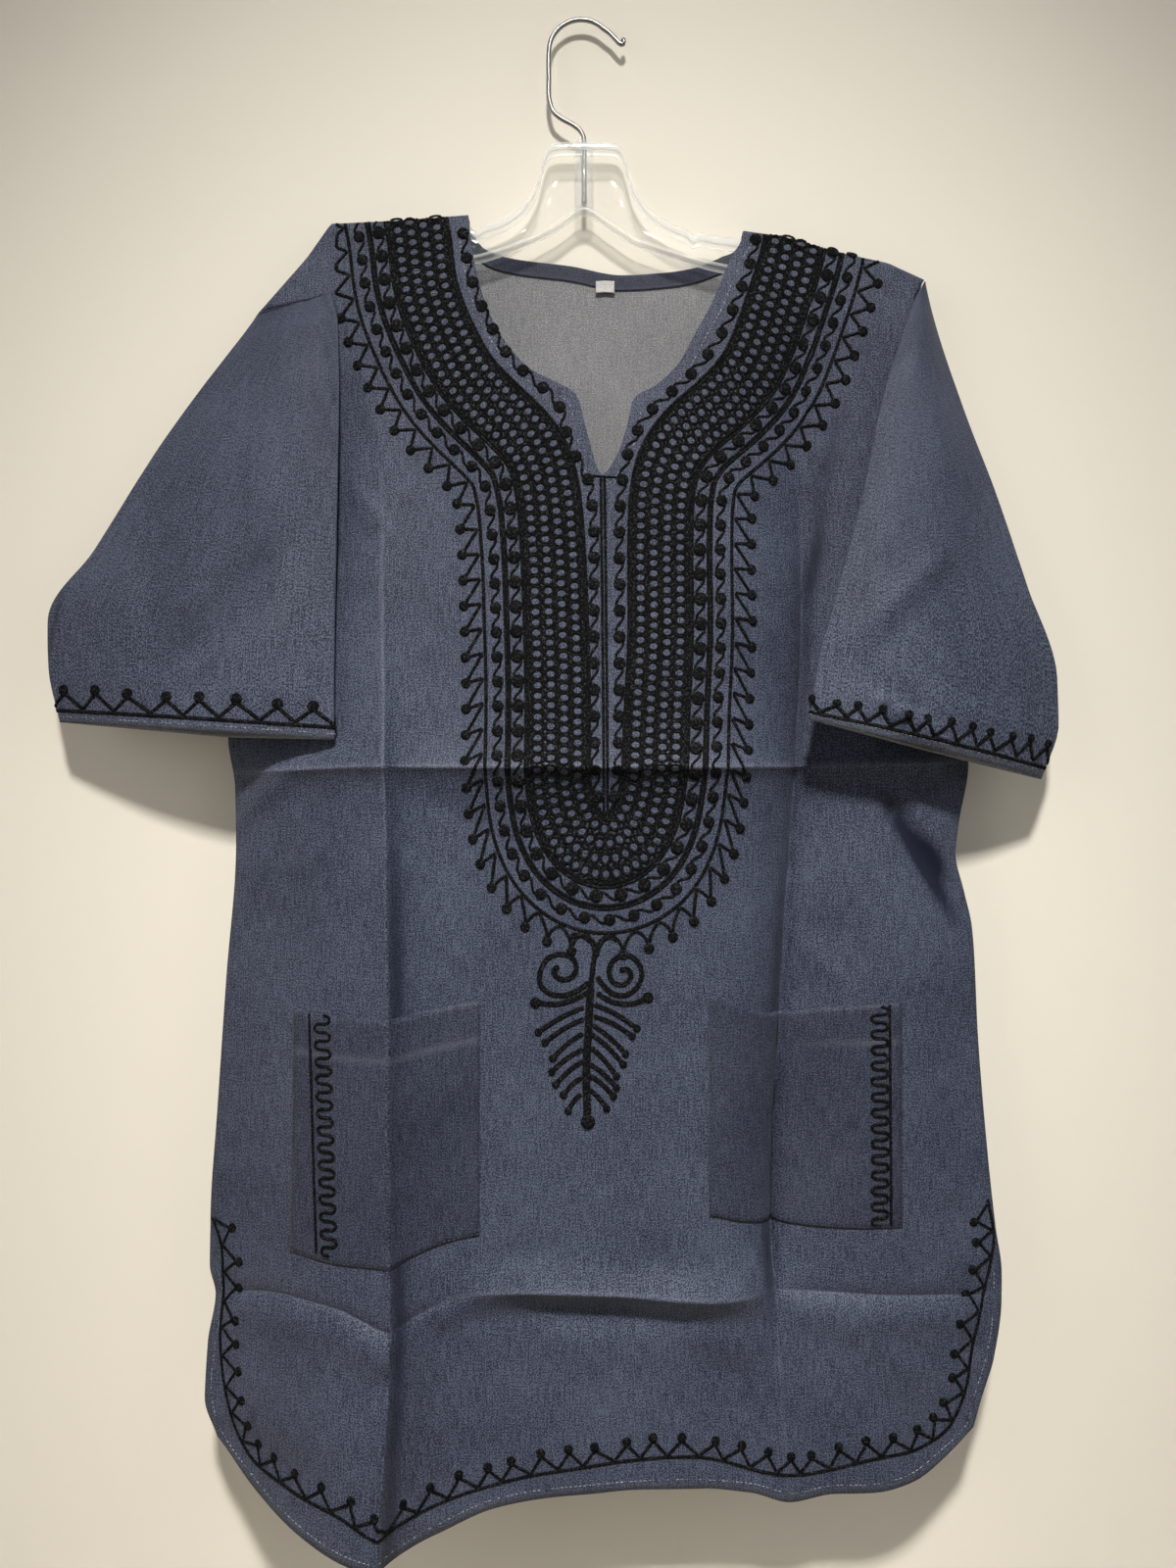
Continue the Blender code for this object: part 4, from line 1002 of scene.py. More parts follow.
    def outline_grid(self) -> tuple[Array, Array, dict[str, int]]:
        """X and Z of the grid, and the number of the row at each main row."""
        rows = self.main_rows()
        labels = ("top", "corner", "underarm", "upper crease", "pocket top", "pocket bottom",
                  "lower crease", "hem")
        form = self.layer.form
        height = rows[0][1].max() - ARM_Z
        xs, zs, marks = [rows[0][0]], [rows[0][1]], {"top": 0}
        for (x0, z0), (x1, z1), last, label in zip(rows, rows[1:], labels, labels[1:]):
            count = max(int(round(np.abs(z1 - z0).max() / self.row_gap)), self.least_rows)
            shares = gathered(count, "crease" in last, "crease" in label)[1:]
            if label == "corner":
                rolls = roll_shares(form.arm_roll, height)[1:] / self.corner_share
                shares = after_rolls(rolls, shares)
            for share in shares:
                row_x, row_z = between(x0, x1, share), between(z0, z1, share)
                if label in ("corner", "underarm"):
                    self.hold_right(row_x, row_z)
                else:
                    self.hold_edges(row_x, row_z)
                xs.append(row_x)
                zs.append(row_z)
            marks[label] = len(xs) - 1
        return np.array(xs), np.array(zs), marks

    def hold_right(self, row_x: Array, row_z: Array) -> None:
        """Spread a row's last columns evenly up to the right armhole's edge."""
        cells = self.splits[-1] * self.fine
        edge = self.edge_x(self.layer.form.right_edge, row_z[-1])
        row_x[-cells - 1:] = np.linspace(row_x[-cells - 1], edge, cells + 1)

    def hold_edges(self, row_x: Array, row_z: Array) -> None:
        """Spread a row's first and last columns evenly out to the side edges."""
        form, cells = self.layer.form, self.splits[0] * self.fine
        edge = self.edge_x(form.left_edge, row_z[0])
        row_x[:cells + 1] = np.linspace(edge, row_x[cells], cells + 1)
        self.hold_right(row_x, row_z)

    def grid(self) -> ClothGrid:
        """The panel's middle points and normals."""
        x, z, marks = self.outline_grid()
        return ClothGrid(x, z, *self.layer.place(x, z), marks)


@dataclass
class BackPanel:
    """The back: its outline, its grid and its cloth."""

    layer: Layer
    fine: int = 4
    wall: float = 0.8
    cut: Pair = (0.56, 0.88)
    rows_below: int = 120
    top_gap: float = 4.4
    under: Pair = (-198.1, 222)
    neck: Table = (
        # x, z
        (-77.6, -135), (-76.6, -141.3), (-61.7, -156), (-46.8, -160), (-7.7, -165), (29.5, -171.5),
        (57, -170), (78, -167), (98, -160), (111.8, -152.3), (112.8, -145.9))
    hem: Table = (
        # x, z
        (-249.2, -976.7), (-219, -999), (-150, -1012), (-60, -1018), (100, -1018), (190, -1011),
        (240, -993), (270, -970.4))
    anchors: tuple[float, ...] = (-223.1, -172.1, -77.6, -76.6, 17.6, 111.8, 112.8, 176, 238)
    splits: tuple[int, ...] = (3, 4, 1, 6, 6, 1, 3, 3)

    def grid(self) -> ClothGrid:
        """The panel's middle points and normals: straight rows from the shoulder and the neck
        down to the underarm, then rows that turn by and by into the hem."""
        form = self.layer.form
        spread = split_line(self.anchors, self.splits, self.fine)
        top_z = top_line(spread, self.neck, form)
        share_x = (spread - spread[0]) / (spread[-1] - spread[0])
        height = top_z.max() - ARM_Z
        rolls = roll_shares(form.arm_roll, height)
        even = np.linspace(0, 1, int(height / self.top_gap))
        shares = after_rolls(rolls, even)[:, None]
        low_x = between(*self.under, share_x)
        top_part = (between(spread, low_x, shares), between(top_z, ARM_Z, shares))
        shares = (np.arange(1, self.rows_below + 1) / self.rows_below)[:, None]
        left, right = (smooth(between(ARM_Z, end[1], shares), edge) for end, edge in
                       ((self.hem[0], form.left_edge), (self.hem[-1], form.right_edge)))
        row_x = between(left, right, share_x)
        row_z = between(ARM_Z, smooth(row_x, self.hem), shares)
        x = np.concatenate([top_part[0], row_x])
        z = np.concatenate([top_part[1], row_z])
        return ClothGrid(x, z, *self.layer.place(x, z), {})


@dataclass
class Sleeve:
    """A short wide sleeve, hung as a flattened open tube from armhole to cuff.

    Attributes:
        table: t, then the outer, inner and underarm folds as x, z, y, then the bulge.
        corners: the shoulder point, the armhole's corner and the underarm, as x, z.
        outward: -1 for the left sleeve and 1 for the right one.
        folds: soft folds on the sleeve's front.
        painted_shading: painted shade that darkens the cloth along its folds, or with a minus
            painted highlight that makes it paler.
    """

    name: str
    table: Table
    corners: Table
    outward: float
    folds: tuple[Fold, ...]
    painted_shading: tuple[Fold, ...]
    legs: tuple[int, int, int] = (76, 34, 40)
    rings: int = 84
    first_share: float = 0.06
    lap: float = 1.7
    butt: float = 0.8
    hidden_bulge: float = 2
    clear_rate: float = 4
    swing_rate: float = 3
    rounding: int = 2
    ring_power: float = 1.1
    wall: float = 0.8
    cut: Pair = (0.41, 0.26)
    cuff_wear: Pair = (0.3, 2)

    def first_ring(self, front: Layer, back: Layer) -> Array:
        """The ring along the armhole: butted at the shoulder and the back, lapped on the
        front."""
        corners = np.array(self.corners)
        parts = []
        for leg, cells in enumerate(self.legs):
            share = np.arange(cells) / cells
            line = between(corners[leg], corners[(leg + 1) % 3], share[:, None])
            x, z = line.T
            ahead, behind = front.depth(x, z), back.depth(x, z)
            if leg == 0:
                lap = ease(share)
                spot = (x + self.outward * self.butt * (1 - lap), ahead - self.lap * lap,
                        z - self.butt)
            elif leg == 1:
                spot = (x, ahead - self.lap, z)
            else:
                clear, swing = ease(self.clear_rate * share), ease(self.swing_rate * share)
                spot = (x + self.outward * self.butt * clear,
                        behind * swing + (ahead - self.lap) * (1 - swing), z)
            parts.append(np.stack(spot, axis=1))
        return np.concatenate(parts)

    def ring(self, t: float) -> Array:
        """A closed ring: the front leg, which bulges, and the two hidden legs."""
        read = [float(smooth(t, self.table, i)) for i in range(1, 11)]
        spots = [np.array([read[k], read[k + 2], read[k + 1]]) for k in (0, 3, 6)]
        parts = []
        for leg, cells in enumerate(self.legs):
            share = (np.arange(cells) / cells)[:, None]
            line = between(spots[leg], spots[(leg + 1) % 3], share)
            swell = np.sin(np.pi * share[:, 0])
            line[:, 1] += -read[9] * swell if leg == 0 else self.hidden_bulge * t * swell
            if leg == 0:
                for fold in self.folds:
                    line[:, 1] -= fold.height(line[:, 0], line[:, 2]) * np.sqrt(swell)
            parts.append(line)
        return np.concatenate(parts)

    def grid(self, front: Layer, back: Layer) -> tuple[Array, Array]:
        """The tube's middle points and outward normals, ring by ring."""
        first = self.first_ring(front, back)
        shares = np.linspace(0, 1, self.rings + 1) ** self.ring_power
        rings = []
        for share in shares:
            hold = max(1 - share / self.first_share, 0)
            ring = self.ring(share)
            rings.append(first * hold + ring * (1 - hold))
        middle = np.array(rings)
        soft = middle.copy()
        for shift in range(1, self.rounding + 1):
            soft += np.roll(middle, shift, axis=1) + np.roll(middle, -shift, axis=1)
        soft /= 2 * self.rounding + 1
        loose = ease(shares / (2 * self.first_share))[:, None, None]
        middle = middle * (1 - loose) + soft * loose
        across = np.roll(middle, -1, axis=1) - np.roll(middle, 1, axis=1)
        normals = unit(np.cross(unit(across), unit(np.gradient(middle, axis=0))))
        facing = np.sign(normals[-1, self.legs[0] // 2, 1])
        return middle, normals * -facing


# ---------------------------------------------------------------- sewn parts of the shirt

@dataclass(frozen=True)
class Pocket:
    """A patch pocket, cut from the front's own grid and moved out."""

    name: str
    first: int
    last: int
    gap: float = 0.2
    wall: float = 0.6
    edge: float = 3
    thin_edge: float = 0.45
    low_edge: float = 0.4
    hem_depth: float = 25
    hem_raise: float = 0.25
    hem_edge: float = 1.5
    hem_wear: Triple = (0.22, 1, 1.2)
    cut: Pair = (0.155, 0.185)

    def grids(self, cloth: ClothGrid, fine: int) -> tuple[Array, Array, Array]:
        """Outer points, inner points and the flat places of the pocket."""
        rows = slice(cloth.marks["pocket top"], cloth.marks["pocket bottom"] + 1)
        cells = (rows, slice(self.first * fine, self.last * fine + 1))
        x, z = cloth.x[cells], cloth.z[cells]
        middle, normals = cloth.middle[cells], cloth.normals[cells]
        from_side = np.minimum(x - x[:, :1], x[:, -1:] - x)
        from_foot = z - z[-1:]
        pressed = ease(np.minimum(from_side, from_foot) / self.edge)
        down = z[:1] - z
        hem = self.hem_raise * ease((self.hem_depth - down) / self.hem_edge)
        lift = self.gap + self.wall * between(self.thin_edge, 1, pressed) + hem
        outer = middle + normals * (FACE + lift)[..., None]
        low = self.gap * between(self.low_edge, 1, pressed)
        inner = middle + normals * (FACE + low)[..., None]
        return outer, inner, np.stack([x + FLAT_X["pocket"], z], axis=-1)


@dataclass
class Cloths:
    """All the shirt's cloth pieces, painted by kind: body, pocket, reverse, facing and tape.

    Attributes:
        steep: where a normal's Y falls below this, the grid's own normal takes over.
        steep_fade: over this much of Y.
        facing_inset: the facing's ends, inside the neckline's.
        facing_walls: how far inside the back's middle its two sides lie.
        facing_wear: strength and width of the pale lines along its edges.
        label_size: width, thickness and height.
        label_gap: from the back's middle to the tape.
        label_curl: how far its sides, its foot and its top bend.
    """

    front: FrontPanel
    back: BackPanel
    sleeves: tuple[Sleeve, ...]
    pockets: tuple[Pocket, ...]
    paints: dict[str, Paint]
    wear_and_light_marks: WearAndPaintedLight = WearAndPaintedLight()
    steep: float = 0.9
    steep_fade: float = 0.25
    facing_depth: float = 10.5
    facing_inset: float = 0.6
    facing_walls: Pair = (0.75, 1.55)
    facing_grid: tuple[int, int] = (150, 6)
    facing_wear: Pair = (0.3, 1)
    label_size: Triple = (13, 0.8, 8.2)
    label_place: Pair = (17.4, -180.2)
    label_grid: tuple[int, int] = (17, 13)
    label_gap: float = 2.1
    label_curl: Triple = (0.25, 0.3, 0.25)
    tubes: dict[str, "TubeSkin"] = field(default_factory=dict)

    def hang(self, name: str, node: str, walls: tuple[Array, Array, Array],
             kinds: tuple[str, str], fade: Array,
             wrap: bool = False, flip: bool = True) -> None:
        """Make a piece of cloth and give it its place in the part.

        Args:
            name: the piece's name.
            node: the solid that it stands for.
            walls: its face, its reverse and their places in the flat cut.
            kinds: the paints of its face and its reverse.
            fade: at each point, how pale it is worn or lit by painted highlight, and below zero
                how dark it is with painted shade.
            wrap: True for a tube.
            flip: True where rows by columns turn the face inwards.
        """
        thing = cloth_wall(name, *walls, [self.paints[kind] for kind in kinds], wrap, flip,
                           {"fade": fade})
        keep(thing, node)

    def panel(self, panel: FrontPanel | BackPanel) -> ClothGrid:
        """The front or the back as a cloth wall."""
        cloth, side = panel.grid(), panel.layer.side
        half = self.settled(cloth) * panel.wall / 2
        walls = (cloth.middle + half, cloth.middle - half, np.stack([cloth.x, cloth.z], axis=-1))
        node = side.name.lower()
        self.hang(f"{node}_cloth", node, walls, ("body", "reverse"),
                  self.wear_and_light_marks.marks(cloth, panel),
                  flip=side is Side.FRONT)
        return cloth

    def settled(self, cloth: ClothGrid) -> Array:
        """The normals, turned to the grid's own where the cloth is steep, so that the wall's
        two faces never cross between two rows."""
        own = unit(np.cross(np.gradient(cloth.middle, axis=1), np.gradient(cloth.middle, axis=0)))
        own *= np.sign(np.sum(own * cloth.normals, axis=-1, keepdims=True))
        steep = ease((self.steep - np.abs(cloth.normals[..., 1:2])) / self.steep_fade)
        return unit(cloth.normals * (1 - steep) + own * steep)

    def tube(self, sleeve: Sleeve) -> None:
        """A sleeve as a cloth wall."""
        middle, normals = sleeve.grid(self.front.layer, self.back.layer)
        around, length = (side / MM for side in sleeve.cut)
        run = np.linspace(0, length, len(middle))[:, None]
        turn = np.linspace(0, around, middle.shape[1])[None, :]
        place = np.stack(np.broadcast_arrays(turn + FLAT_X["sleeve"], run), axis=-1)
        # The cuff's pale edge is wear; the sleeve's folds add painted shade, and painted highlight
        # where a fold's strength is below zero.
        worn, width = sleeve.cuff_wear
        fade = worn * bell(run[-1] - run, width) - sum(
            fold.height(middle[..., 0], middle[..., 2]) for fold in sleeve.painted_shading)
        half = normals * sleeve.wall / 2
        self.hang(f"{sleeve.name}_cloth", sleeve.name,
                  (middle + half, middle - half, place), ("body", "reverse"), fade,
                  wrap=True, flip=sleeve.outward < 0)
        self.tubes[sleeve.name] = TubeSkin(middle, normals, around, length)

    def pocket(self, pocket: Pocket, cloth: ClothGrid) -> None:
        """A pocket as a cloth wall on the front."""
        walls = pocket.grids(cloth, self.front.fine)
        down = walls[0][:1, :, 2] - walls[0][..., 2]
        worn, below, width = pocket.hem_wear
        self.hang(f"{pocket.name}_cloth", pocket.name, walls,
                  ("pocket", "pocket"), worn * bell(down - pocket.hem_depth - below, width))

    def neck_facing(self) -> None:
        """The strip turned to the inside of the back neck."""
        layer, neck, inset = self.back.layer, self.back.neck, self.facing_inset
        count, rows = self.facing_grid
        x = np.linspace(neck[0][0] + inset, neck[-1][0] - inset, count)[None, :]
        roll = layer.form.arm_roll
        down = np.concatenate([roll_shares(roll, 1),
                               np.linspace(roll + inset, self.facing_depth, rows)])
        x, z = np.broadcast_arrays(x, smooth(x, neck) - down[:, None])
        middle, normals = layer.place(x, z)
        near, far = (middle - normals * depth for depth in self.facing_walls)
        worn, width = self.facing_wear
        edge = np.exp(-np.minimum(down, down[-1] - down) / width)[:, None]
        self.hang("neck_facing_cloth", "back_neck_facing",
                  (far, near, np.stack([x + FLAT_X["facing"], z], axis=-1)),
                  ("facing", "facing"), np.broadcast_to(worn * edge, x.shape))

    def label(self) -> None:
        """A small folded tape, blank, sewn in at the back of the neck."""
        wide, thick, tall = self.label_size
        sides, foot, top = self.label_curl
        x, z = self.label_place
        columns, rows = self.label_grid
        u, v = np.meshgrid(np.linspace(-0.5, 0.5, columns), np.linspace(0.5, -0.5, rows))
        px, pz = x + u * wide, z + v * tall + top * np.cos(u * 5)
        depth = self.back.layer.depth(np.full(1, x), np.full(1, z))[0] - self.label_gap
        curl = sides * (u * 2) ** 2 + foot * ease(-v * 2)
        self.hang("neck_label_tape", "neck_label",
                  (np.stack([px, depth - thick - curl, pz], axis=-1),
                   np.stack([px, depth - curl, pz], axis=-1),
                   np.stack([px + FLAT_X["label"], pz], axis=-1)), ("tape", "tape"),
                  np.zeros_like(px))


# ---------------------------------------------------------------- hanger and hook

@dataclass
class Hanger:
    """A clear moulded top hanger: a web with a rim all round, ribs, strap notches and a boss."""

    clear: Paint
    half: float = 5
    web: float = 1.5
    rim: float = 2.4
    centre: float = 2.7
    boss_radius: float = 6.6
    boss: Pair = (-131, -83.5)
    ribs: tuple[float, ...] = (-62, -34, 40, 70, 100)
    sections: int = 190
    profile: Table = (
        # x, top z, bottom z
        (-174, -146.5, -160), (-168, -142.2, -163.5), (-130.6, -140.2, -165), (-103.4, -141, -167),
        (-74.8, -142.5, -166.5), (-57.2, -138.4, -162), (-41.5, -128.9, -156.5),
        (-30.5, -113.2, -152), (-26, -96.9, -149.5), (-23.6, -89.4, -148.2),
        (-20.2, -85.4, -146.6), (-15, -84, -143.5), (2.7, -83.8, -133), (20.6, -84, -143.5),
        (25.8, -85.4, -146.9), (29.4, -89.4, -149.4), (32, -96.9, -151), (36.5, -113.2, -154),
        (46.9, -128.9, -157.5), (66.6, -141.8, -164), (91.8, -148.6, -171), (112, -151, -175),
        (141.4, -152, -180), (168.6, -159, -184), (188, -163.9, -185), (196, -168, -181.5))
    notches: tuple[Pair, ...] = ((-72, 9), (78, 9))
    notch_depth: float = 3.2
    rib_half: float = 1.3
    rib_inset: float = 0.6
    drop: Pair = (4.2, 0.3)
    # rows marked 1 (the rims) are made more opaque: partly for their thickness, partly as painted
    # highlight for their bright reflections
    thick: tuple[int, ...] = (1,) * 7 + (0,) * 4 + (1,) * 5
    boss_thick: float = 0.5
    boss_sides: int = 32

    def outline(self) -> tuple[Array, Array, Array]:
        """X, top and bottom along the hanger, closer where the neck rises steeply."""
        knots, tops = column(self.profile, 0), column(self.profile, 1)
        run = np.concatenate([[0], np.cumsum(np.hypot(np.diff(knots), np.diff(tops)))])
        x = np.interp(np.linspace(0, run[-1], self.sections), run, knots)
        top, low = smooth(x, self.profile, 1), smooth(x, self.profile, 2)
        for spot, width in self.notches:
            top -= self.notch_depth * np.clip(1 - np.abs(x - spot) / width * 2, 0, 1)
        return x, top, low

    def ring(self, top: Array, low: Array, x: Array) -> Array:
        """Cross-sections of the plate as rounded I shapes, one for each place along it."""
        rib = np.zeros_like(x)
        for spot in self.ribs:
            rib = np.maximum(rib, np.exp(-(((x - spot) / self.rib_half) ** 4)))
        thin = self.web + (self.half - self.rib_inset - self.web) * rib
        full, rim = np.full_like(x, self.half), self.rim
        most, share = self.drop
        drop = np.minimum(most, (top - low) * share)
        side = [
            (full * 0, top), (full * 0.36, top - 0.25), (full * 0.64, top - 1.2),
            (full * 0.88, top - 2.4), (full, top - drop), (full, top - drop - rim),
            (full - 0.5, top - drop - rim - 0.5), (thin + 0.4, top - drop - rim - 0.6),
            (thin, top - drop - rim - 1), (thin, low + rim + 0.9), (thin + 0.4, low + rim + 0.5),
            (full - 0.5, low + rim + 0.4), (full, low + rim), (full, low + 0.5),
            (full - 0.5, low), (full * 0, low),
        ]
        there = [np.stack([x, -y, z], axis=1) for y, z in side]
        back = [np.stack([x, y, z], axis=1) for y, z in side[-2:0:-1]]
        return np.stack(there + back, axis=1)

    def build(self) -> None:
        """The plate, with its boss as a turned column let into it."""
        x, top, low = self.outline()
        rings = self.ring(top, low, x)
        rows, columns = rings.shape[:2]
        points = [rings.reshape(-1, 3)]
        faces = [grid_quads(rows, columns, 0, wrap=True)]
        ends = [points[0][:columns].mean(axis=0), points[0][-columns:].mean(axis=0)]
        count = rows * columns
        ring = np.arange(columns)
        points.append(np.array(ends))
        faces.append(np.stack([np.roll(ring, -1), ring, np.full(columns, count)], axis=1))
        last = ring + count - columns
        faces.append(np.stack([last, np.roll(last, -1), np.full(columns, count + 1)], axis=1))
        column_points, column_faces = self.turned(count + 2)
        points.append(column_points)
        faces.extend(column_faces)
        share = np.tile(self.thick + self.thick[-2:0:-1], rows)
        share = np.concatenate([share, np.ones(2), np.full(len(column_points), self.boss_thick)])
        thing = make_mesh("hanger_plate", np.concatenate(points), faces, [self.clear],
                          floats={"thick": share})
        keep(thing, "hanger_body")

    def turned(self, start: int) -> tuple[Array, list[Array]]:
        """The boss: a closed turned column with a collar at its top and a bore for the wire."""
        foot, head = self.boss
        radius = self.boss_radius
        shape = np.array([(0.2, foot), (radius - 1, foot), (radius, foot + 1),
                          (radius, head - 6), (radius - 0.8, head - 5.5),
                          (radius - 0.8, head - 2), (radius - 1.4, head), (2, head),
                          (1.9, head - 0.4), (1.9, foot + 4), (0.2, foot + 3.8)])
        turns = circle(self.boss_sides)
        rings = np.stack([self.centre + shape[:, :1] * np.cos(turns),
                          shape[:, :1] * np.sin(turns),
                          np.repeat(shape[:, 1:], len(turns), axis=1)], axis=-1)
        return rings.reshape(-1, 3), [grid_quads(*rings.shape[:2], start, wrap=True)]


@dataclass
class Hook:
    """The steel wire hook: straight in the boss, bent aside, and round to its folded tip."""

    steel: Paint
    radius: float = 1.6
    end_radius: float = 0.05
    sides: int = 20
    step: float = 1.2
    bend: float = 22.4
    centre: Pair = (0.6, -20.8)
    turn: Pair = (180, 45)
    neck: Table = (
        (2.7, -127), (2.7, -104), (2.7, -84), (2.2, -79.5), (-0.4, -75), (-4.4, -71.8),
        (-14, -66.4), (-18.8, -62), (-21.2, -55), (-21.8, -38))
    tip: Table = (
        (20.4, -7.7), (24, -11.4), (27, -14.6), (28.6, -15.6), (30, -14.9), (30.2, -13.2),
        (28.6, -11))

    def build(self) -> None:
        """A round bar along the wire's line, with rounded ends."""
        turns = np.radians(np.linspace(*self.turn, 12))
        bend = np.array(self.centre) + self.bend * headings(turns)
        line = curve_through(np.concatenate([self.neck, bend, self.tip]), self.step)
        heading = unit(np.gradient(line, axis=0))
        side = leftwards(heading)
        angles = circle(self.sides)
        width = np.full(len(line), self.radius)
        width[[0, -1]] = self.end_radius
        line[0] += heading[1] * 0.7
        line[-1] = line[-2] + heading[-2] * 0.25
        out = width[:, None] * np.cos(angles)
        rings = np.stack([line[:, :1] + side[:, :1] * out,
                          width[:, None] * np.sin(angles) + 0 * out,
                          line[:, 1:] + side[:, 1:] * out], axis=-1)
        thing = make_mesh("hook_wire", rings.reshape(-1, 3),
                          [grid_quads(len(line), self.sides, 0, wrap=True)], [self.steel])
        keep(thing, "hanger_hook")


# ---------------------------------------------------------------- stage

@dataclass(frozen=True)
class Lamp:
    """A soft square lamp that looks at a point of the shirt."""

    name: str
    place: Triple
    aim: Triple
    size: float
    power: float
    colour: Colour
    spread: float = 180

    def build(self) -> None:
        """Put the lamp in the scene."""
        data = bpy.data.lights.new(self.name, "AREA")
        data.shape, data.size = "SQUARE", self.size
        data.energy, data.color = self.power, self.colour
        data.spread = math.radians(self.spread)
        thing = bpy.data.objects.new(self.name, data)
        thing.location = self.place
        thing.rotation_euler = (Vector(self.aim) - Vector(self.place)).to_track_quat(
            "-Z", "Y").to_euler()
        bpy.context.scene.collection.objects.link(thing)


@dataclass
class Stage:
    """Pale floor and wall, soft lamps, a pale world and the camera."""

    wall_y: float = 0.0085
    wall_lean: float = -0.034
    floor_z: float = -1.55
    reach: float = 6
    camera: Triple = (0.0054, -0.816, -0.5287)
    lens: float = 27
    clip: Pair = (0.05, 50)
    tint: Pair = (0.35, 0.97)
    wall: Finish = Finish("wall_paint", (0.79, 0.735, 0.635), 0.9)
    floor: Finish = Finish("floor_paint", (0.7, 0.64, 0.55), 0.8)
    world: Colour = (0.95, 0.93, 0.9)
    world_power: float = 0.07
    lamps: tuple[Lamp, ...] = (
        Lamp("lamp_above", (0.02, -1.6, 1.2), (0.02, 0, -0.88), 0.2, 5.6,
             (1, 0.98, 0.94), 43),
        Lamp("lamp_left", (-2.4, -1.4, 0.2), (0, 0, -0.45), 2.2, 21, (1, 0.99, 0.97)),
        Lamp("lamp_right", (2.4, -1.4, 0.2), (0, 0, -0.45), 2.2, 15.5, (0.88, 0.95, 1)),
        Lamp("lamp_front", (0.5, -2.6, -0.4), (0, 0, -0.6), 1.6, 2, (1, 0.99, 0.98)),
        Lamp("lamp_back", (-0.9, 2.3, 1.3), (0, 0, -0.55), 1.6, 45, (1, 0.99, 0.98)),
    )

    def build(self) -> None:
        """Everything round the shirt."""
        foot, top = (self.wall_y + self.wall_lean * self.reach * end for end in (-1, 1))
        corners = ((-1, -1), (1, -1), (1, 1), (-1, 1))
        self.surface("stage_wall", self.wall,
                     [(x, top if z > 0 else foot, z) for x, z in corners], True)
        self.surface("stage_floor", self.floor, [(*spot, self.floor_z) for spot in corners],
                     False)
        for lamp in self.lamps:
            lamp.build()
        world = bpy.data.worlds.new("studio")
        world.use_nodes = True
        sky = world.node_tree.nodes["Background"]
        sky.inputs["Color"].default_value = (*self.world, 1)
        sky.inputs["Strength"].default_value = self.world_power
        bpy.context.scene.world = world
        data = bpy.data.cameras.new("camera")
        data.lens, (data.clip_start, data.clip_end) = self.lens, self.clip
        thing = bpy.data.objects.new("camera", data)
        thing.location = self.camera
        thing.rotation_euler = (math.pi / 2, 0, 0)
        bpy.context.scene.collection.objects.link(thing)
        bpy.context.scene.camera = thing
        bpy.context.scene.view_settings.view_transform = "Standard"

    def surface(self, name: str, finish: Finish, corners: list, upright: bool) -> None:
        """A square plane; an upright one is seen only from its front."""
        reach = self.reach
        points = np.array(corners, float) * ((reach, 1, reach) if upright else (reach, reach, 1))
        made = Material(finish)
        size, dark = self.tint
        tint = made.noise(made.object_place(), size, 3)
        low = tuple(dark * part for part in finish.colour)
        made.feed("Base Color", made.mix(tint, low, finish.colour))
        if upright:
            self.hide_back(made)
        make_mesh(name, points / MM, [np.array([[0, 1, 2, 3]])], [made.made])

    @staticmethod
    def hide_back(made: Material) -> None:
        """Let sight through the back of a surface, and lamps through the whole of it."""
        tree = made.tree
        shadow = made.node("LightPath", "Is Shadow Ray")
        either = made.node("NewGeometry", "Backfacing").math("MAXIMUM", shadow)
        clear = made.node("BsdfTransparent")
        blend = tree.nodes.new("ShaderNodeMixShader")
        for source, target in zip((either.output, made.shader.outputs["BSDF"], clear.output),
                                  blend.inputs):
            tree.links.new(source, target)
        output = next(n for n in tree.nodes if n.bl_idname == "ShaderNodeOutputMaterial")
        tree.links.new(blend.outputs["Shader"], output.inputs["Surface"])

# ---------------------------------------------------------------- embroidery

class Skin:
    """A surface that thread lies on, read by two coordinates in millimetres."""

    def locate(self, a: Array, b: Array) -> tuple[Array, Array]:
        """Points of the surface and its unit normals, each (n, 3)."""
        raise NotImplementedError

    def shows(self, a: Array, b: Array) -> Array:
        """Where there is cloth to sew on."""
        return np.ones(np.shape(a), bool)


@dataclass
class PanelSkin(Skin):
    """The front or back panel's face, read by x and z, and clear of its shoulder seam."""

    layer: Layer
    lift: float = FACE
    seam: float = 0.8
    clear: float = 1

    def locate(self, a: Array, b: Array) -> tuple[Array, Array]:
        """The layer's middle moved out to its face."""
        points, normals = self.layer.place(a, b)
        return points + normals * self.lift, normals

    def shows(self, a: Array, b: Array) -> Array:
        """Below the shoulder seam and inside the side edges."""
        left, right = self.layer.form.sides(b)
        inside = (a > left + self.clear) & (a < right - self.clear)
        return inside & (b < straight(a, self.layer.form.shoulder) - self.seam)


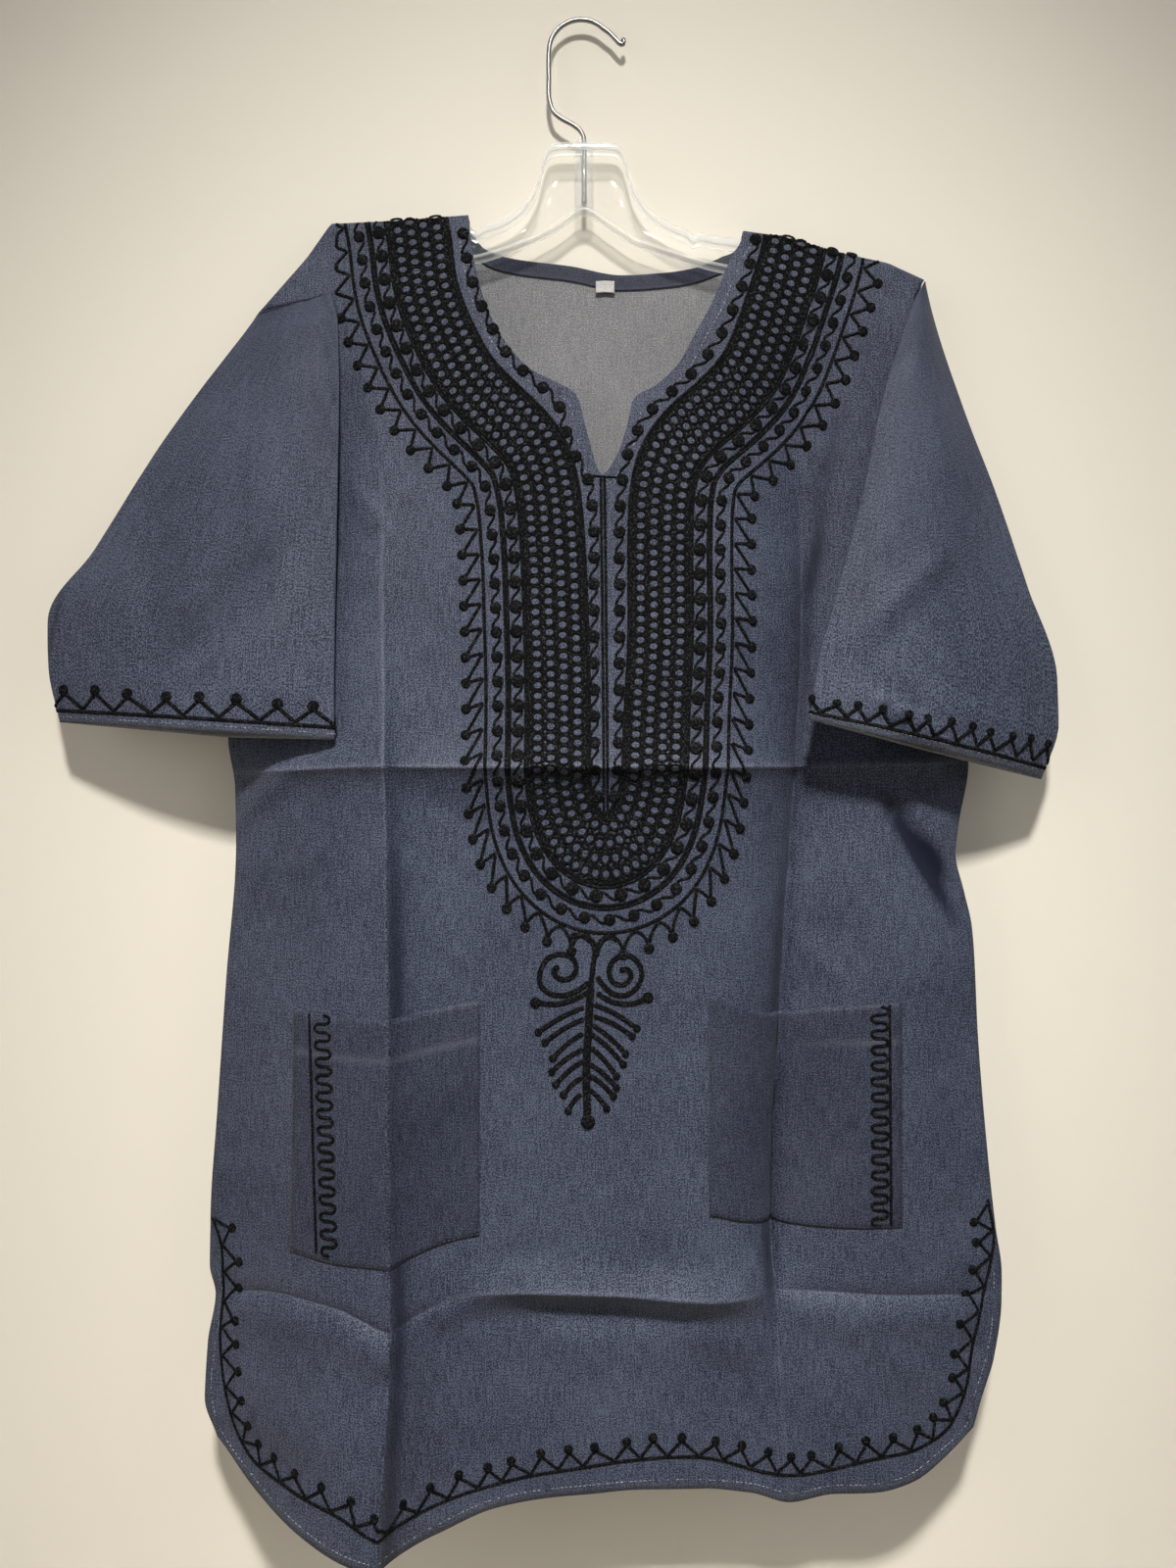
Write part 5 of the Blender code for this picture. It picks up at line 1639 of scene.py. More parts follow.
@dataclass
class TubeSkin(Skin):
    """A sleeve's face, read by the distance round its ring and the distance up from its cuff."""

    middle: Array
    normals: Array
    around: float
    length: float
    lift: float = FACE

    def locate(self, a: Array, b: Array) -> tuple[Array, Array]:
        """Reading between the four nearest points of the tube's grid."""
        rings, count = self.middle.shape[:2]
        row = np.clip((1 - np.asarray(b) / self.length) * (rings - 1), 0, rings - 1.001)
        col = np.mod(np.asarray(a) / self.around, 1) * count
        r0, c0 = row.astype(int), np.minimum(col.astype(int), count - 1)
        fr, fc = (row - r0)[:, None], (col - c0)[:, None]
        r1, c1 = r0 + 1, (c0 + 1) % count
        read = [grid[r0, c0] * (1 - fr) * (1 - fc) + grid[r0, c1] * (1 - fr) * fc
                + grid[r1, c0] * fr * (1 - fc) + grid[r1, c1] * fr * fc
                for grid in (self.middle, self.normals)]
        normals = unit(read[1])
        return read[0] + normals * self.lift, normals

    def level(self, height: float) -> "Guide":
        """A line all round the tube at a height above its cuff."""
        around = np.linspace(0, self.around, int(self.around))
        return Guide(np.stack([around, np.full_like(around, height)], axis=1))


@dataclass
class Guide:
    """A line on a surface that ornament follows, with distances run and sideways directions.

    The sideways direction is to the left of the line's run.
    """

    line: Array
    run: Array = field(init=False)
    side: Array = field(init=False)

    def __post_init__(self) -> None:
        self.run = arc_lengths(self.line)
        self.side = leftwards(unit(np.gradient(self.line, self.run, axis=0)))

    @staticmethod
    def through(points: Table) -> "Guide":
        """The guide along the smooth curve through points."""
        return Guide(curve_through(points))

    @property
    def length(self) -> float:
        """The line's whole length."""
        return float(self.run[-1])

    def at(self, run: Array, away: Array | float = 0) -> Array:
        """Places at distances along the line and sideways from it."""
        run = np.asarray(run, float)
        x, z, side_x, side_z = (np.interp(run, self.run, part)
                                for part in (*self.line.T, *self.side.T))
        away = np.broadcast_to(np.asarray(away, float), run.shape)
        return np.stack([x + side_x * away, z + side_z * away], axis=-1)

    def ahead(self, run: Array) -> Array:
        """The line's directions at distances along it."""
        return self.at(run + 0.5) - self.at(run - 0.5)

    def moved(self, away: Array | float, step: float = 1) -> "Guide":
        """The guide moved sideways, and evened out."""
        return Guide(resample(offset_curve(self.line, away), step))

    def marks(self, pitch: float, start: float = 0) -> Array:
        """Distances along the line about a pitch apart, that come out even."""
        room = self.length - 2 * start
        count = max(int(round(room / pitch)), 1)
        return start + room * np.arange(count + 1) / count


@dataclass
class Heap:
    """Small shapes gathered into one mesh."""

    points: list[Array] = field(default_factory=list)
    faces: list[Array] = field(default_factory=list)
    count: int = 0

    def add(self, points: Array, faces: Array) -> None:
        """Add one shape."""
        self.points.append(points.reshape(-1, 3))
        self.faces.append(faces + self.count)
        self.count += len(self.points[-1])

    def build(self, name: str, material: Paint) -> None:
        """Make the piece, which is sewn to the cloth."""
        keep(make_mesh(name, np.concatenate(self.points), self.faces, [material]))


@dataclass(frozen=True)
class Stamp:
    """A small shape that is repeated: local points (along, sideways, up) and its faces."""

    points: Array
    faces: Array

    @staticmethod
    def dot(segments: int = 12) -> "Stamp":
        """A low round knot of coiled yarn, with a groove that winds inwards, radius one."""
        turns = circle(segments)
        wind = 0.1 * np.cos(turns)
        rings = [(1, 0, 0), (0.9, 0.75, 0), (0.58, 0.55, 1), (0.34, 1, 0.6)]
        points = [Stamp.turned(turns, radius + wind * share, radius + wind * share, height)
                  for radius, height, share in rings]
        points.append(np.array([[0, 0, 0.72]] * segments))
        return Stamp(np.concatenate(points), grid_quads(5, segments, 0, wrap=True))

    @staticmethod
    def turned(turns: Array, along: Array | float, across: Array | float,
               up: float) -> Array:
        """A level ring of points by its two radii and its height."""
        return np.stack([along * np.cos(turns), across * np.sin(turns),
                         np.full(len(turns), up)], axis=1)

    @staticmethod
    def ring(long: float, wide: float, thick: float, around: int = 9) -> "Stamp":
        """An oval eyelet of yarn: its middle radii along and sideways, and its half width."""
        section = [(-1, 0), (-0.35, 1), (0.45, 0.9), (1, 0)]
        points = [Stamp.turned(circle(around), long + thick * out, wide + thick * out, up)
                  for out, up in section]
        return Stamp(np.concatenate(points), grid_quads(4, around, 0, wrap=True, flip=True))

    @staticmethod
    def stitch() -> "Stamp":
        """A short bar of sewing thread, length and width one."""
        spots = [(-0.5, 0), (-0.3, 0.5), (0.3, 0.5), (0.5, 0), (0.3, -0.5), (-0.3, -0.5)]
        low = [(a, b, 0) for a, b in spots]
        high = [(a * 0.8, b * 0.45, 1) for a, b in spots]
        return Stamp(np.array(low + high), np.concatenate(
            [grid_quads(2, 6, 0, wrap=True, flip=True),
             np.array([[9, 8, 7, 6], [6, 11, 10, 9]])]))


@dataclass
class Needle:
    """Sews cords and stamps onto a surface, into a heap."""

    skin: Skin
    heap: Heap
    stitch: float = 3.3
    step: float = 1.1
    nudge: float = 0.4
    swell_wide: Pair = (0.8, 0.28)
    swell_high: Pair = (0.72, 0.34)
    taper: Pair = (0.45, 0.5)
    profile: Table = ((-1, 0), (-0.66, 0.95), (0, 0.72), (0.66, 0.95), (1, 0))

    def cord(self, path: Array, half: float = 1.05, tall: float = 0.85) -> None:
        """A chain-stitched cord along a path in the surface's coordinates.

        The cord swells in the middle of each stitch and is nipped in between stitches, and a
        groove runs along its top.
        """
        for part in self.shown(path):
            line = resample(part, self.step)
            points, normals = self.skin.locate(line[:, 0], line[:, 1])
            heading = unit(np.gradient(points, axis=0))
            side = unit(np.cross(normals, heading))
            run = arc_lengths(points)
            swell = np.abs(np.sin(np.pi * run / self.stitch))
            wide, high = (size * (least + more * swell) for size, (least, more) in
                          ((half, self.swell_wide), (tall, self.swell_high)))
            wide[[0, -1]] *= self.taper[0]
            high[[0, -1]] *= self.taper[1]
            rings = [points + side * (wide * out)[:, None] + normals * (high * up)[:, None]
                     for out, up in self.profile]
            self.heap.add(np.stack(rings, axis=1),
                          grid_quads(len(line), len(rings), 0, wrap=True, flip=True))

    def strands(self, guide: Guide, aways: Sequence[float], half: float, tall: float) -> None:
        """Cords side by side along a guide."""
        for away in aways:
            self.cord(guide.moved(away).line, half, tall)

    def shown(self, path: Array) -> list[Array]:
        """The stretches of a path that lie on cloth."""
        path = np.asarray(path, float)
        shown = self.skin.shows(path[:, 0], path[:, 1])
        if shown.all():
            return [path]
        breaks = np.flatnonzero(np.diff(shown.astype(int))) + 1
        parts = zip(np.split(path, breaks), np.split(shown, breaks))
        return [part for part, seen in parts if seen[0] and len(part) > 3]

    def stamp(self, shape: Stamp, places: Array, ahead: Array,
              scale: Triple = (1, 1, 1)) -> None:
        """Repeat a shape at places, each turned to its direction ahead."""
        shown = self.skin.shows(*places.T)
        places, ahead = places[shown], unit(ahead[shown])
        if not len(places):
            return
        points, normals = self.skin.locate(*places.T)
        along = self.skin.locate(*(places + ahead * self.nudge).T)[0] - points
        along = unit(along - normals * (along * normals).sum(axis=1, keepdims=True))
        side = np.cross(normals, along)
        local = shape.points * np.array(scale)
        made = (points[:, None] + along[:, None] * local[None, :, :1]
                + side[:, None] * local[None, :, 1:2] + normals[:, None] * local[None, :, 2:])
        count = len(shape.points)
        faces = shape.faces[None] + (np.arange(len(points)) * count)[:, None, None]
        self.heap.add(made, faces.reshape(-1, shape.faces.shape[1]))

    def dots(self, places: Array, radius: float, tall: float = 1.5) -> None:
        """Knots of coiled yarn."""
        self.stamp(Stamp.dot(), places, headings(places[:, 1]), (radius, radius, tall))


@dataclass
class Yoke:
    """The neck ornament: a net band in a U, with cords, rows of knots and a zigzag outside.

    Attributes:
        scale: millimetres in one unit of the rows' distances and of the pitches.
        left: the band's middle line from the left shoulder down, as x, z.
        right: the same on the right.
        foot: the lowest point of the middle line.
        knot_rows: distance from the middle line outwards, in that unit, and the knots' radius
            in millimetres.
        slit_bar: the short cord across the slit's foot.
        rounding: how far the middle line is smoothed to both sides.
    """

    needle: Needle
    net: Needle
    scale: float = 0.657
    left: Table = (
        (-116.5, -125), (-111.9, -147), (-104.6, -193.4), (-93, -223), (-77.5, -250.7),
        (-60.7, -269.1), (-45.2, -284), (-31, -301), (-22.5, -328), (-19.1, -359.6),
        (-16.4, -417.7), (-14.9, -470), (-14.9, -503.8), (-14.4, -530), (-8, -555), (2, -568.5))
    right: Table = (
        (150, -140), (147, -161.1), (141.5, -180.5), (134.4, -201.6), (126, -225.8),
        (116.4, -246.5), (104.8, -261.2), (90, -275.7), (73, -291), (60.5, -310.3), (55.4, -335),
        (54.4, -359.9), (54.1, -431.9), (51.5, -480), (49.8, -515.7), (47.5, -537), (41, -556),
        (31, -569))
    foot: Pair = (16.6, -574.5)
    edge: float = 31
    edge_gap: float = 1.6
    knot_rows: Table = ((40.5, 4.7), (61.5, 4.1))
    double_line: float = 50.5
    single_line: float = 73.5
    zigzag: Pair = (76, 94)
    knot_pitch: float = 25.5
    zigzag_pitch: float = 26.5
    foot_growth: float = 0.13
    scallop: Pair = (50, 24)
    stem_x: float = 10
    foot_reach: float = 60
    net_columns: tuple[float, ...] = (-20.4, -6.8, 6.8, 20.4)
    net_edges: tuple[float, ...] = (-27.2, -13.6, 0, 13.6, 27.2)
    net_pitch: float = 10.8
    net_swing: float = 1.3
    eyelet: Triple = (3.35, 3.9, 1.25)
    swing_step: float = 0.8
    knot_swing: float = 0.55
    neck_pitch: float = 27.6
    neck_start: float = 4
    neck_radius: float = 4.3
    side_clear: Pair = (3.2, 4.5)
    stem_half: float = 6
    neck_knots: tuple[Table, Table] = (
        ((-81, -146), (-79.5, -158.3), (-73.1, -186.7), (-61.5, -214.1), (-46, -240.1),
         (-29.3, -255.2), (-15.3, -269.5), (-9.6, -289.2), (-3, -306.1), (5.2, -322), (8.6, -345),
         (9.2, -400), (9.6, -470), (10.2, -520), (12.4, -541)),
        ((121.5, -150), (120, -157.8), (114.3, -179.2), (107.3, -196.6), (100.4, -214.4),
         (88.9, -233.5), (72.7, -252.8), (58, -266), (45.3, -278.5), (37.3, -292.3), (32, -306.2),
         (28.6, -324), (27, -345), (26.8, -400), (26.2, -470), (24.9, -520), (22.5, -541)))
    placket: Table = ((15.4, -321), (16.2, -400), (16.9, -480), (17.2, -552))
    slit_bar: Table = ((4.4, -319.6), (27.9, -321.2))
    rounding: int = 9

    def build(self) -> None:
        """Sew the whole ornament."""
        line = curve_through((*self.left, self.foot, *reversed(self.right)), 1)
        middle = Guide(resample(blur(line, self.rounding), 1))
        self.lines(middle)
        for away, radius in self.knot_rows:
            self.knot_row(self.row(middle, away), self.knot_pitch * self.scale, radius)
        for knots in self.neck_knots:
            self.knot_row(Guide.through(knots), self.neck_pitch * self.scale,
                          self.neck_radius, self.neck_start)
        self.outer_zigzag(middle)
        self.net_band(middle)
        self.needle.strands(Guide.through(self.placket), (-1.25, 1.25), 1.05, 0.8)
        self.needle.cord(np.linspace(*self.slit_bar, 24), 0.8, 0.8)

    def growth(self, middle: Guide) -> Array:
        """How much wider the rows are spaced round the foot of the U."""
        away = np.hypot(middle.line[:, 0] - self.foot[0], middle.line[:, 1] - self.foot[1])
        return 1 + self.foot_growth * ease(1 - away / self.foot_reach)

    def row(self, middle: Guide, away: float) -> Guide:
        """The middle line moved outwards by a row's distance."""
        return middle.moved(-away * self.scale * self.growth(middle))

    def lines(self, middle: Guide) -> None:
        """The plain cords: doubled along the band's edges and the inner line, then single."""
        for away in (self.edge, -self.edge, self.double_line):
            for side in (-self.edge_gap, self.edge_gap):
                self.needle.cord(self.row(middle, away + side).line, 1.1)
        self.needle.cord(self.row(middle, self.single_line).line, 1.25)

    def knot_row(self, guide: Guide, pitch: float, radius: float, start: float = 0) -> None:
        """Knots along a guide, joined by cords that swing from side to side."""
        marks = guide.marks(pitch, start)
        self.needle.dots(guide.at(marks), radius)
        run = np.arange(marks[0], marks[-1], self.swing_step)
        share = np.interp(run, marks, np.arange(len(marks)))
        swing = radius * self.knot_swing * np.sin(2 * np.pi * share)
        self.needle.cord(guide.at(run, swing), 1, 0.8)

    def outer_zigzag(self, middle: Guide) -> None:
        """The outermost cord, which runs out to a knot and back, and bellies round the foot."""
        low, high = self.row(middle, self.zigzag[0]), self.row(middle, self.zigzag[1])
        count, steps = int(round(high.length / (self.zigzag_pitch * self.scale))), 24
        share = np.linspace(0, 1, count * steps + 1)
        phase = share * count
        aside = np.abs(2 * (phase - np.floor(phase + 0.5)))
        near, far = low.at(share * low.length), high.at(share * high.length)
        away = np.hypot(near[:, 0] - self.foot[0], near[:, 1] - self.foot[1])
        round_foot = ease(1 - (away - self.scallop[0]) / self.scallop[1])
        wave = ((1 - aside) * (1 - round_foot)
                + (1 - np.sqrt(1 - (1 - aside) ** 2)) * round_foot)
        path = blur(between(near, far, wave[:, None]), 1)
        cord_clear, knot_clear = self.side_clear
        edge = smooth(path[:, 1], HangingForm.left_edge) + cord_clear
        path[:, 0] = np.maximum(path[:, 0], edge)
        self.needle.cord(path, 1.2)
        knots = far[::steps]
        knots = knots[knots[:, 0] > smooth(knots[:, 1], HangingForm.left_edge) + knot_clear]
        beside = np.abs(knots[:, 0] - self.stem_x)
        at_stem = (beside < self.stem_half) & (knots[:, 1] < self.foot[1])
        self.needle.dots(knots[~at_stem], 3.6, 1.4)

    def net_band(self, middle: Guide) -> None:
        """The net: staggered columns of oval eyelets with wandering cords between them."""
        apart = self.net_pitch * self.scale
        for index, away in enumerate(self.net_columns):
            guide = self.row(middle, away)
            marks = guide.marks(apart)
            if index % 2:
                marks = (marks[1:] + marks[:-1]) / 2
            self.net.stamp(Stamp.ring(*self.eyelet), guide.at(marks), guide.ahead(marks))
        for index, away in enumerate(self.net_edges):
            guide = self.row(middle, away)
            run = np.arange(0, guide.length, self.swing_step)
            pitch = guide.length / max(round(guide.length / apart), 1)
            swing = self.net_swing * np.cos(2 * np.pi * run / pitch + np.pi * (index % 2))
            self.net.cord(guide.at(run, swing), 1.15, 0.9)


@dataclass
class Palm:
    """The leaf-and-spiral motif under the yoke."""

    needle: Needle
    stem: Table = (
        (11.3, -634), (9.6, -645), (8, -657), (6.7, -673), (5.6, -694), (4.6, -711.9), (4.3, -730),
        (5, -750))
    foot: Pair = (5.4, -754.5)
    split_z: float = -664
    sag: Pair = (0, 1.6)
    curls: tuple[Table, ...] = (
        ((6.3, -661), (-3, -667.5), (-12, -670.2), (-21, -668.6), (-26.4, -663.5), (-26.2, -653.6),
         (-20.8, -645.2), (-12.3, -642.5), (-5, -645), (-2.4, -652), (-5.2, -657.6), (-11, -659.6),
         (-16, -657.4), (-17.6, -653.8), (-15.4, -651.6)),
        ((11.4, -657), (17.2, -665), (24, -669.4), (31.6, -669.2), (37.6, -664.8), (41.2, -656.8),
         (39.6, -648.8), (32.4, -643), (23.4, -645.4), (19.4, -653), (22.4, -661.2),
         (28.4, -662.6), (34, -657.4), (32.4, -652.6), (28.2, -652.6)),
        ((10.2, -644), (9, -636), (4.5, -631.2), (-3.1, -629.7), (-8, -632)),
        ((10.8, -644), (12.6, -636.5), (16.4, -632), (21.3, -630.6), (25, -633.5)),
        ((5.4, -668), (-4, -672.6), (-16, -676.2), (-27.5, -675.6)),
        ((11.2, -668), (19, -672.9), (28.8, -675.4), (38, -674.4), (43.8, -671.4)),
    )
    curl_knots: Table = ((-29.9, -675.6), (45.4, -671))
    fronds: Table = (
        # x0, z0, x1, z1
        (2.8, -677.8, -27.9, -695.4), (2.8, -685.6, -23.4, -702), (2.1, -695.4, -18.1, -712.5),
        (2.1, -705.9, -18.8, -721.6), (2.1, -713.8, -16.2, -730.1), (1.5, -724.9, -10.9, -736.7),
        (1, -736, -7.7, -747.2), (9.3, -675.8, 38.1, -691.5), (9.3, -683.7, 34.8, -696.8),
        (8.7, -689.6, 30.3, -708.5), (7.4, -695.4, 28.9, -715.7), (7.4, -704.6, 24.4, -723.6),
        (6.7, -715.7, 24.4, -731.4), (6.7, -723.6, 22.4, -737.3), (6, -732.8, 17.8, -745.2))

    def build(self) -> None:
        """Sew the stem, its curls and its fronds."""
        stem = Guide.through(self.stem)
        lower = Guide(stem.line[stem.line[:, 1] < self.split_z])
        self.needle.strands(lower, (-1.5, 0, 1.5), 1.2, 1.1)
        self.needle.strands(stem, (-0.7, 0.7), 1.15, 1)
        self.needle.dots(np.array([self.foot]), 4.9, 1.9)
        for curl in self.curls:
            self.needle.strands(Guide.through(curl), (-0.75, 0.75), 1.1, 0.9)
        self.needle.dots(np.array(self.curl_knots), 3.8, 1.5)
        self.needle.dots(np.array([self.curls[0][-1], self.curls[1][-1]]), 2, 1.3)
        fronds = np.array(self.fronds)
        share = np.linspace(0, 1, 14)[:, None]
        sag = np.array(self.sag) * np.sin(np.pi * share)
        for root, tip in zip(fronds[:, :2], fronds[:, 2:]):
            path = root * (1 - share) + tip * share + sag
            for away in (-0.6, 0.6):
                self.needle.cord(offset_curve(path, away), 1.1, 0.9)
        self.needle.dots(fronds[:, 2:], 2.7, 1.4)


@dataclass
class Border:
    """A hem ornament: a cord, and a zigzag inside it with a knot on each inner turn.

    Attributes:
        sway: how far the turns stray along the line, how fast that changes, and its start.
        uneven: the same for their height, as a share of it.
        seat: how far beyond its turn a knot sits, as a share of its radius.
        foot: from the cord to the zigzag's outer turns.
    """

    needle: Needle
    pitch: float = 18.6
    height: float = 10.5
    knot: float = 3.2
    cord: float = 1.1
    sway: Triple = (1.2, 2.3, 0.7)
    uneven: Pair = (0.08, 1.7)
    seat: float = 0.7
    foot: float = 1
    step: float = 0.6

    def sew(self, guide: Guide, start: float = 3) -> None:
        """Sew the ornament along a guide, on its left side."""
        self.needle.cord(guide.line, self.cord)
        marks = guide.marks(self.pitch, start)
        spots, knots = [], []
        for index, (low, high) in enumerate(zip(marks[:-1], marks[1:])):
            most, beat, early = self.sway
            sway = most * math.sin(beat * index + early)
            more, beat = self.uneven
            top = self.height * (1 + more * math.sin(beat * index))
            peak = (low + high) / 2 + sway
            spots += [guide.at(low + sway, self.foot), guide.at(peak, top)]
            knots.append(guide.at(peak, top + self.knot * self.seat))
        spots.append(guide.at(marks[-1], self.foot))
        self.needle.cord(resample(np.array(spots), self.step), self.cord)
        self.needle.dots(np.array(knots), self.knot, 1.4)


@dataclass(frozen=True)
class Seam:
    """A row of machine stitches."""

    pitch: float = 3.1
    size: Triple = (2.3, 0.6, 0.32)

    def sew(self, needle: Needle, guide: Guide) -> None:
        """Sew the row along a guide."""
        marks = guide.marks(self.pitch, self.pitch / 2)
        needle.stamp(Stamp.stitch(), guide.at(marks), guide.ahead(marks), self.size)


@dataclass
class PocketTrim:
    """A pocket's ornament: a straight cord, and a meander beside it."""

    needle: Needle
    line: Table
    meander: Table
    waves: int = 14
    swing: float = 1.62
    half: float = 5.4

    def build(self) -> None:
        """Sew the cord and the meander."""
        self.needle.cord(curve_through(self.line), 1.05)
        guide = Guide.through(self.meander)
        phase = np.linspace(0, 2 * np.pi * self.waves, self.waves * 30 + 1)
        turned = self.swing * np.cos(phase)
        run, away = np.cumsum(np.cos(turned)), np.cumsum(np.sin(turned))
        away -= (away.max() + away.min()) / 2
        self.needle.cord(guide.at(run * guide.length / run[-1],
                                  away * self.half / away.max()), 1.2)


# ---------------------------------------------------------------- all the needlework

@dataclass
class Needlework:
    """All the embroidery and the visible seams, sewn in their order."""

    cloths: Cloths
    yarn: Paint
    thread: Paint
    dark_thread: Paint
    hem_line: Table = (
        (-256, -826.7), (-248.8, -841.1), (-245.6, -872.1), (-247, -911), (-239.4, -950.3),
        (-224.1, -979.8), (-188.9, -990.4), (-155.5, -996.2), (-125.9, -1008), (-104.5, -1007),
        (-66, -1000.5), (-29.3, -991.4), (30.3, -980.7), (82, -979.1), (143.8, -995.7),
        (200.5, -984.8), (232.4, -979.3), (251.5, -968.6), (261.5, -951.5), (270.1, -911.2),
        (279.5, -874.4), (286.2, -842), (282.1, -816.3))
    back_hem_line: Table = (
        (-254, -826.7), (-247, -872.1), (-246, -920), (-238, -960.3), (-216, -981), (-150, -992),
        (-60, -998), (100, -998), (190, -991), (236, -976), (260, -951.5), (271, -911.2),
        (280, -874.4), (284, -842), (281, -816.3))
    cuffs: tuple[tuple[str, float, float, float, float], ...] = (
        # sleeve, pitch, distance of the cord from the edge, height, knot
        ("sleeve_left", 25, 5.2, 7.6, 4), ("sleeve_right", 16.4, 3.2, 5.4, 3))
    cuff_cord: float = 1.35
    cuff_seat: float = 0.35
    hem_turn: Pair = (-960, -860)
    pocket_lift: float = 1.2
    pocket_seam: float = 1.6
    pocket_steps: tuple[int, int] = (60, 40)
    hem_gap: float = 1
    facing_gap: float = 1.2
    hem_seam: float = 5.8
    neck_seam: float = 7.5
    cuff_seam: float = 2.4
    pocket_lines: tuple[tuple[Table, Table], ...] = (
        (((-178.8, -680.4), (-175.5, -757), (-171.7, -836)),
         ((-169.6, -681.5), (-166.2, -757), (-162.6, -836))),
        (((210.5, -678.6), (211, -757), (211.4, -829.1)),
         ((203.8, -680.5), (204, -757), (203.8, -829))))

    def build(self) -> None:
        """Sew everything."""
        front = PanelSkin(self.cloths.front.layer)
        back = PanelSkin(self.cloths.back.layer)
        cords, net, palm = Heap(), Heap(), Heap()
        Yoke(Needle(front, cords), Needle(front, net)).build()
        cords.build("yoke_cords", self.yarn)
        net.build("yoke_net", self.yarn)
        Palm(Needle(front, palm)).build()
        palm.build("palm_motif", self.yarn)
        for name, skin, line in (("hem_trim_front", front, self.hem_line),
                                 ("hem_trim_back", back, self.back_hem_line)):
            heap = Heap()
            Border(Needle(skin, heap)).sew(Guide.through(line))
            heap.build(name, self.yarn)
        for sleeve, pitch, edge, height, knot in self.cuffs:
            tube, heap = self.cloths.tubes[sleeve], Heap()
            border = Border(Needle(tube, heap), pitch, height, knot, self.cuff_cord,
                            seat=self.cuff_seat)
            border.sew(tube.level(edge), 0)
            heap.build(sleeve + "_trim", self.yarn)
        self.seams(front, back)
        flap = PanelSkin(self.cloths.front.layer, self.pocket_lift)
        for pocket, (line, meander) in zip(self.cloths.pockets, self.pocket_lines):
            heap = Heap()
            PocketTrim(Needle(flap, heap), line, meander).build()
            heap.build(pocket.name + "_trim", self.yarn)
            self.pocket_seams(flap, pocket)

    def seams(self, front: PanelSkin, back: PanelSkin) -> None:
        """The hem's, the neck's and the cuffs' stitches."""
        for name, skin, panel, neck_depth in (
                ("seams_front", front, self.cloths.front, self.neck_seam),
                ("seams_back", back, self.cloths.back,
                 self.cloths.facing_depth - self.facing_gap)):
            heap, form = Heap(), panel.layer.form
            needle = Needle(skin, heap)
            low, high = self.hem_turn
            sides = [[(x, z) for z, x in edge if low < z < high]
                     for edge in (form.left_edge, form.right_edge)]
            hem = Guide.through((*sides[0], *panel.hem, *reversed(sides[1])))
            Seam().sew(needle, hem.moved(self.hem_seam))
            neck = Guide.through(panel.neck[1:-1])
            Seam().sew(needle, neck.moved(-neck_depth))
            heap.build(name, self.thread)
        heap = Heap()
        for tube in self.cloths.tubes.values():
            Seam().sew(Needle(tube, heap), tube.level(self.cuff_seam))
        heap.build("seams_cuffs", self.thread)

    def pocket_seams(self, skin: PanelSkin, pocket: Pocket) -> None:
        """A pocket's stitches: down one side, along its foot and up the other, and its hem."""
        panel, heap = self.cloths.front, Heap()
        places = np.cumsum((0, *panel.splits))
        low, high = (int(np.flatnonzero(places == end)[0]) - 1
                     for end in (pocket.first, pocket.last))
        left = panel.columns[2][low] + self.pocket_seam
        right = panel.columns[2][high] - self.pocket_seam
        across = np.linspace(left, right, self.pocket_steps[0])
        foot = smooth(across, panel.pocket_bottom) + self.pocket_seam
        top = smooth(across, panel.pocket_top)
        sides = [np.linspace((x, start), (x, end), self.pocket_steps[1])
                 for x, start, end in ((left, top[0] - self.hem_gap, foot[0]),
                                       (right, foot[-1], top[-1] - self.hem_gap))]
        around = np.concatenate([sides[0], np.stack([across, foot], axis=1)[1:-1], sides[1]])
        hem = np.stack([across, top - pocket.hem_depth + self.hem_gap], axis=1)
        for line in (around, hem):
            Seam().sew(Needle(skin, heap), Guide(resample(line, 1)))
        heap.build(pocket.name + "_seams", self.dark_thread)


def yarn_material() -> Paint:
    """Black embroidery yarn: matt, finely fibrous, with a few bright glints painted into its
    colour as highlight, where it is also glossier.
    """
    made = Material(Finish("black_yarn", (0.002, 0.002, 0.002), 0.62, specular=0.035))
    place = made.object_place()
    fibre = made.noise(place, 0.0006, 2)
    glint = made.noise(place, 0.0011, 0).band(0.58, 0.68)
    # painted highlight: the glints lighten the base colour
    made.feed("Base Color", made.mix((fibre * 0.25 + glint * 0.8).clamp(),
                                     (0.0008, 0.0008, 0.001), (0.025, 0.025, 0.026)))
    made.feed("Roughness", 0.72 - glint * 0.4)
    made.bump(fibre, 0.5, 0.0003)
    return made.made


def thread_material(name: str, dark: Colour, light: Colour) -> Paint:
    """Sewing thread whose colour is lighter here and there: painted highlight where it would catch
    the light.
    """
    made = Material(Finish(name, dark, 0.6))
    fibre = made.noise(made.object_place(), 0.004, 1)
    made.feed("Base Color", made.mix(fibre.band(0.4, 0.6), dark, light))
    return made.made


# ---------------------------------------------------------------- the whole

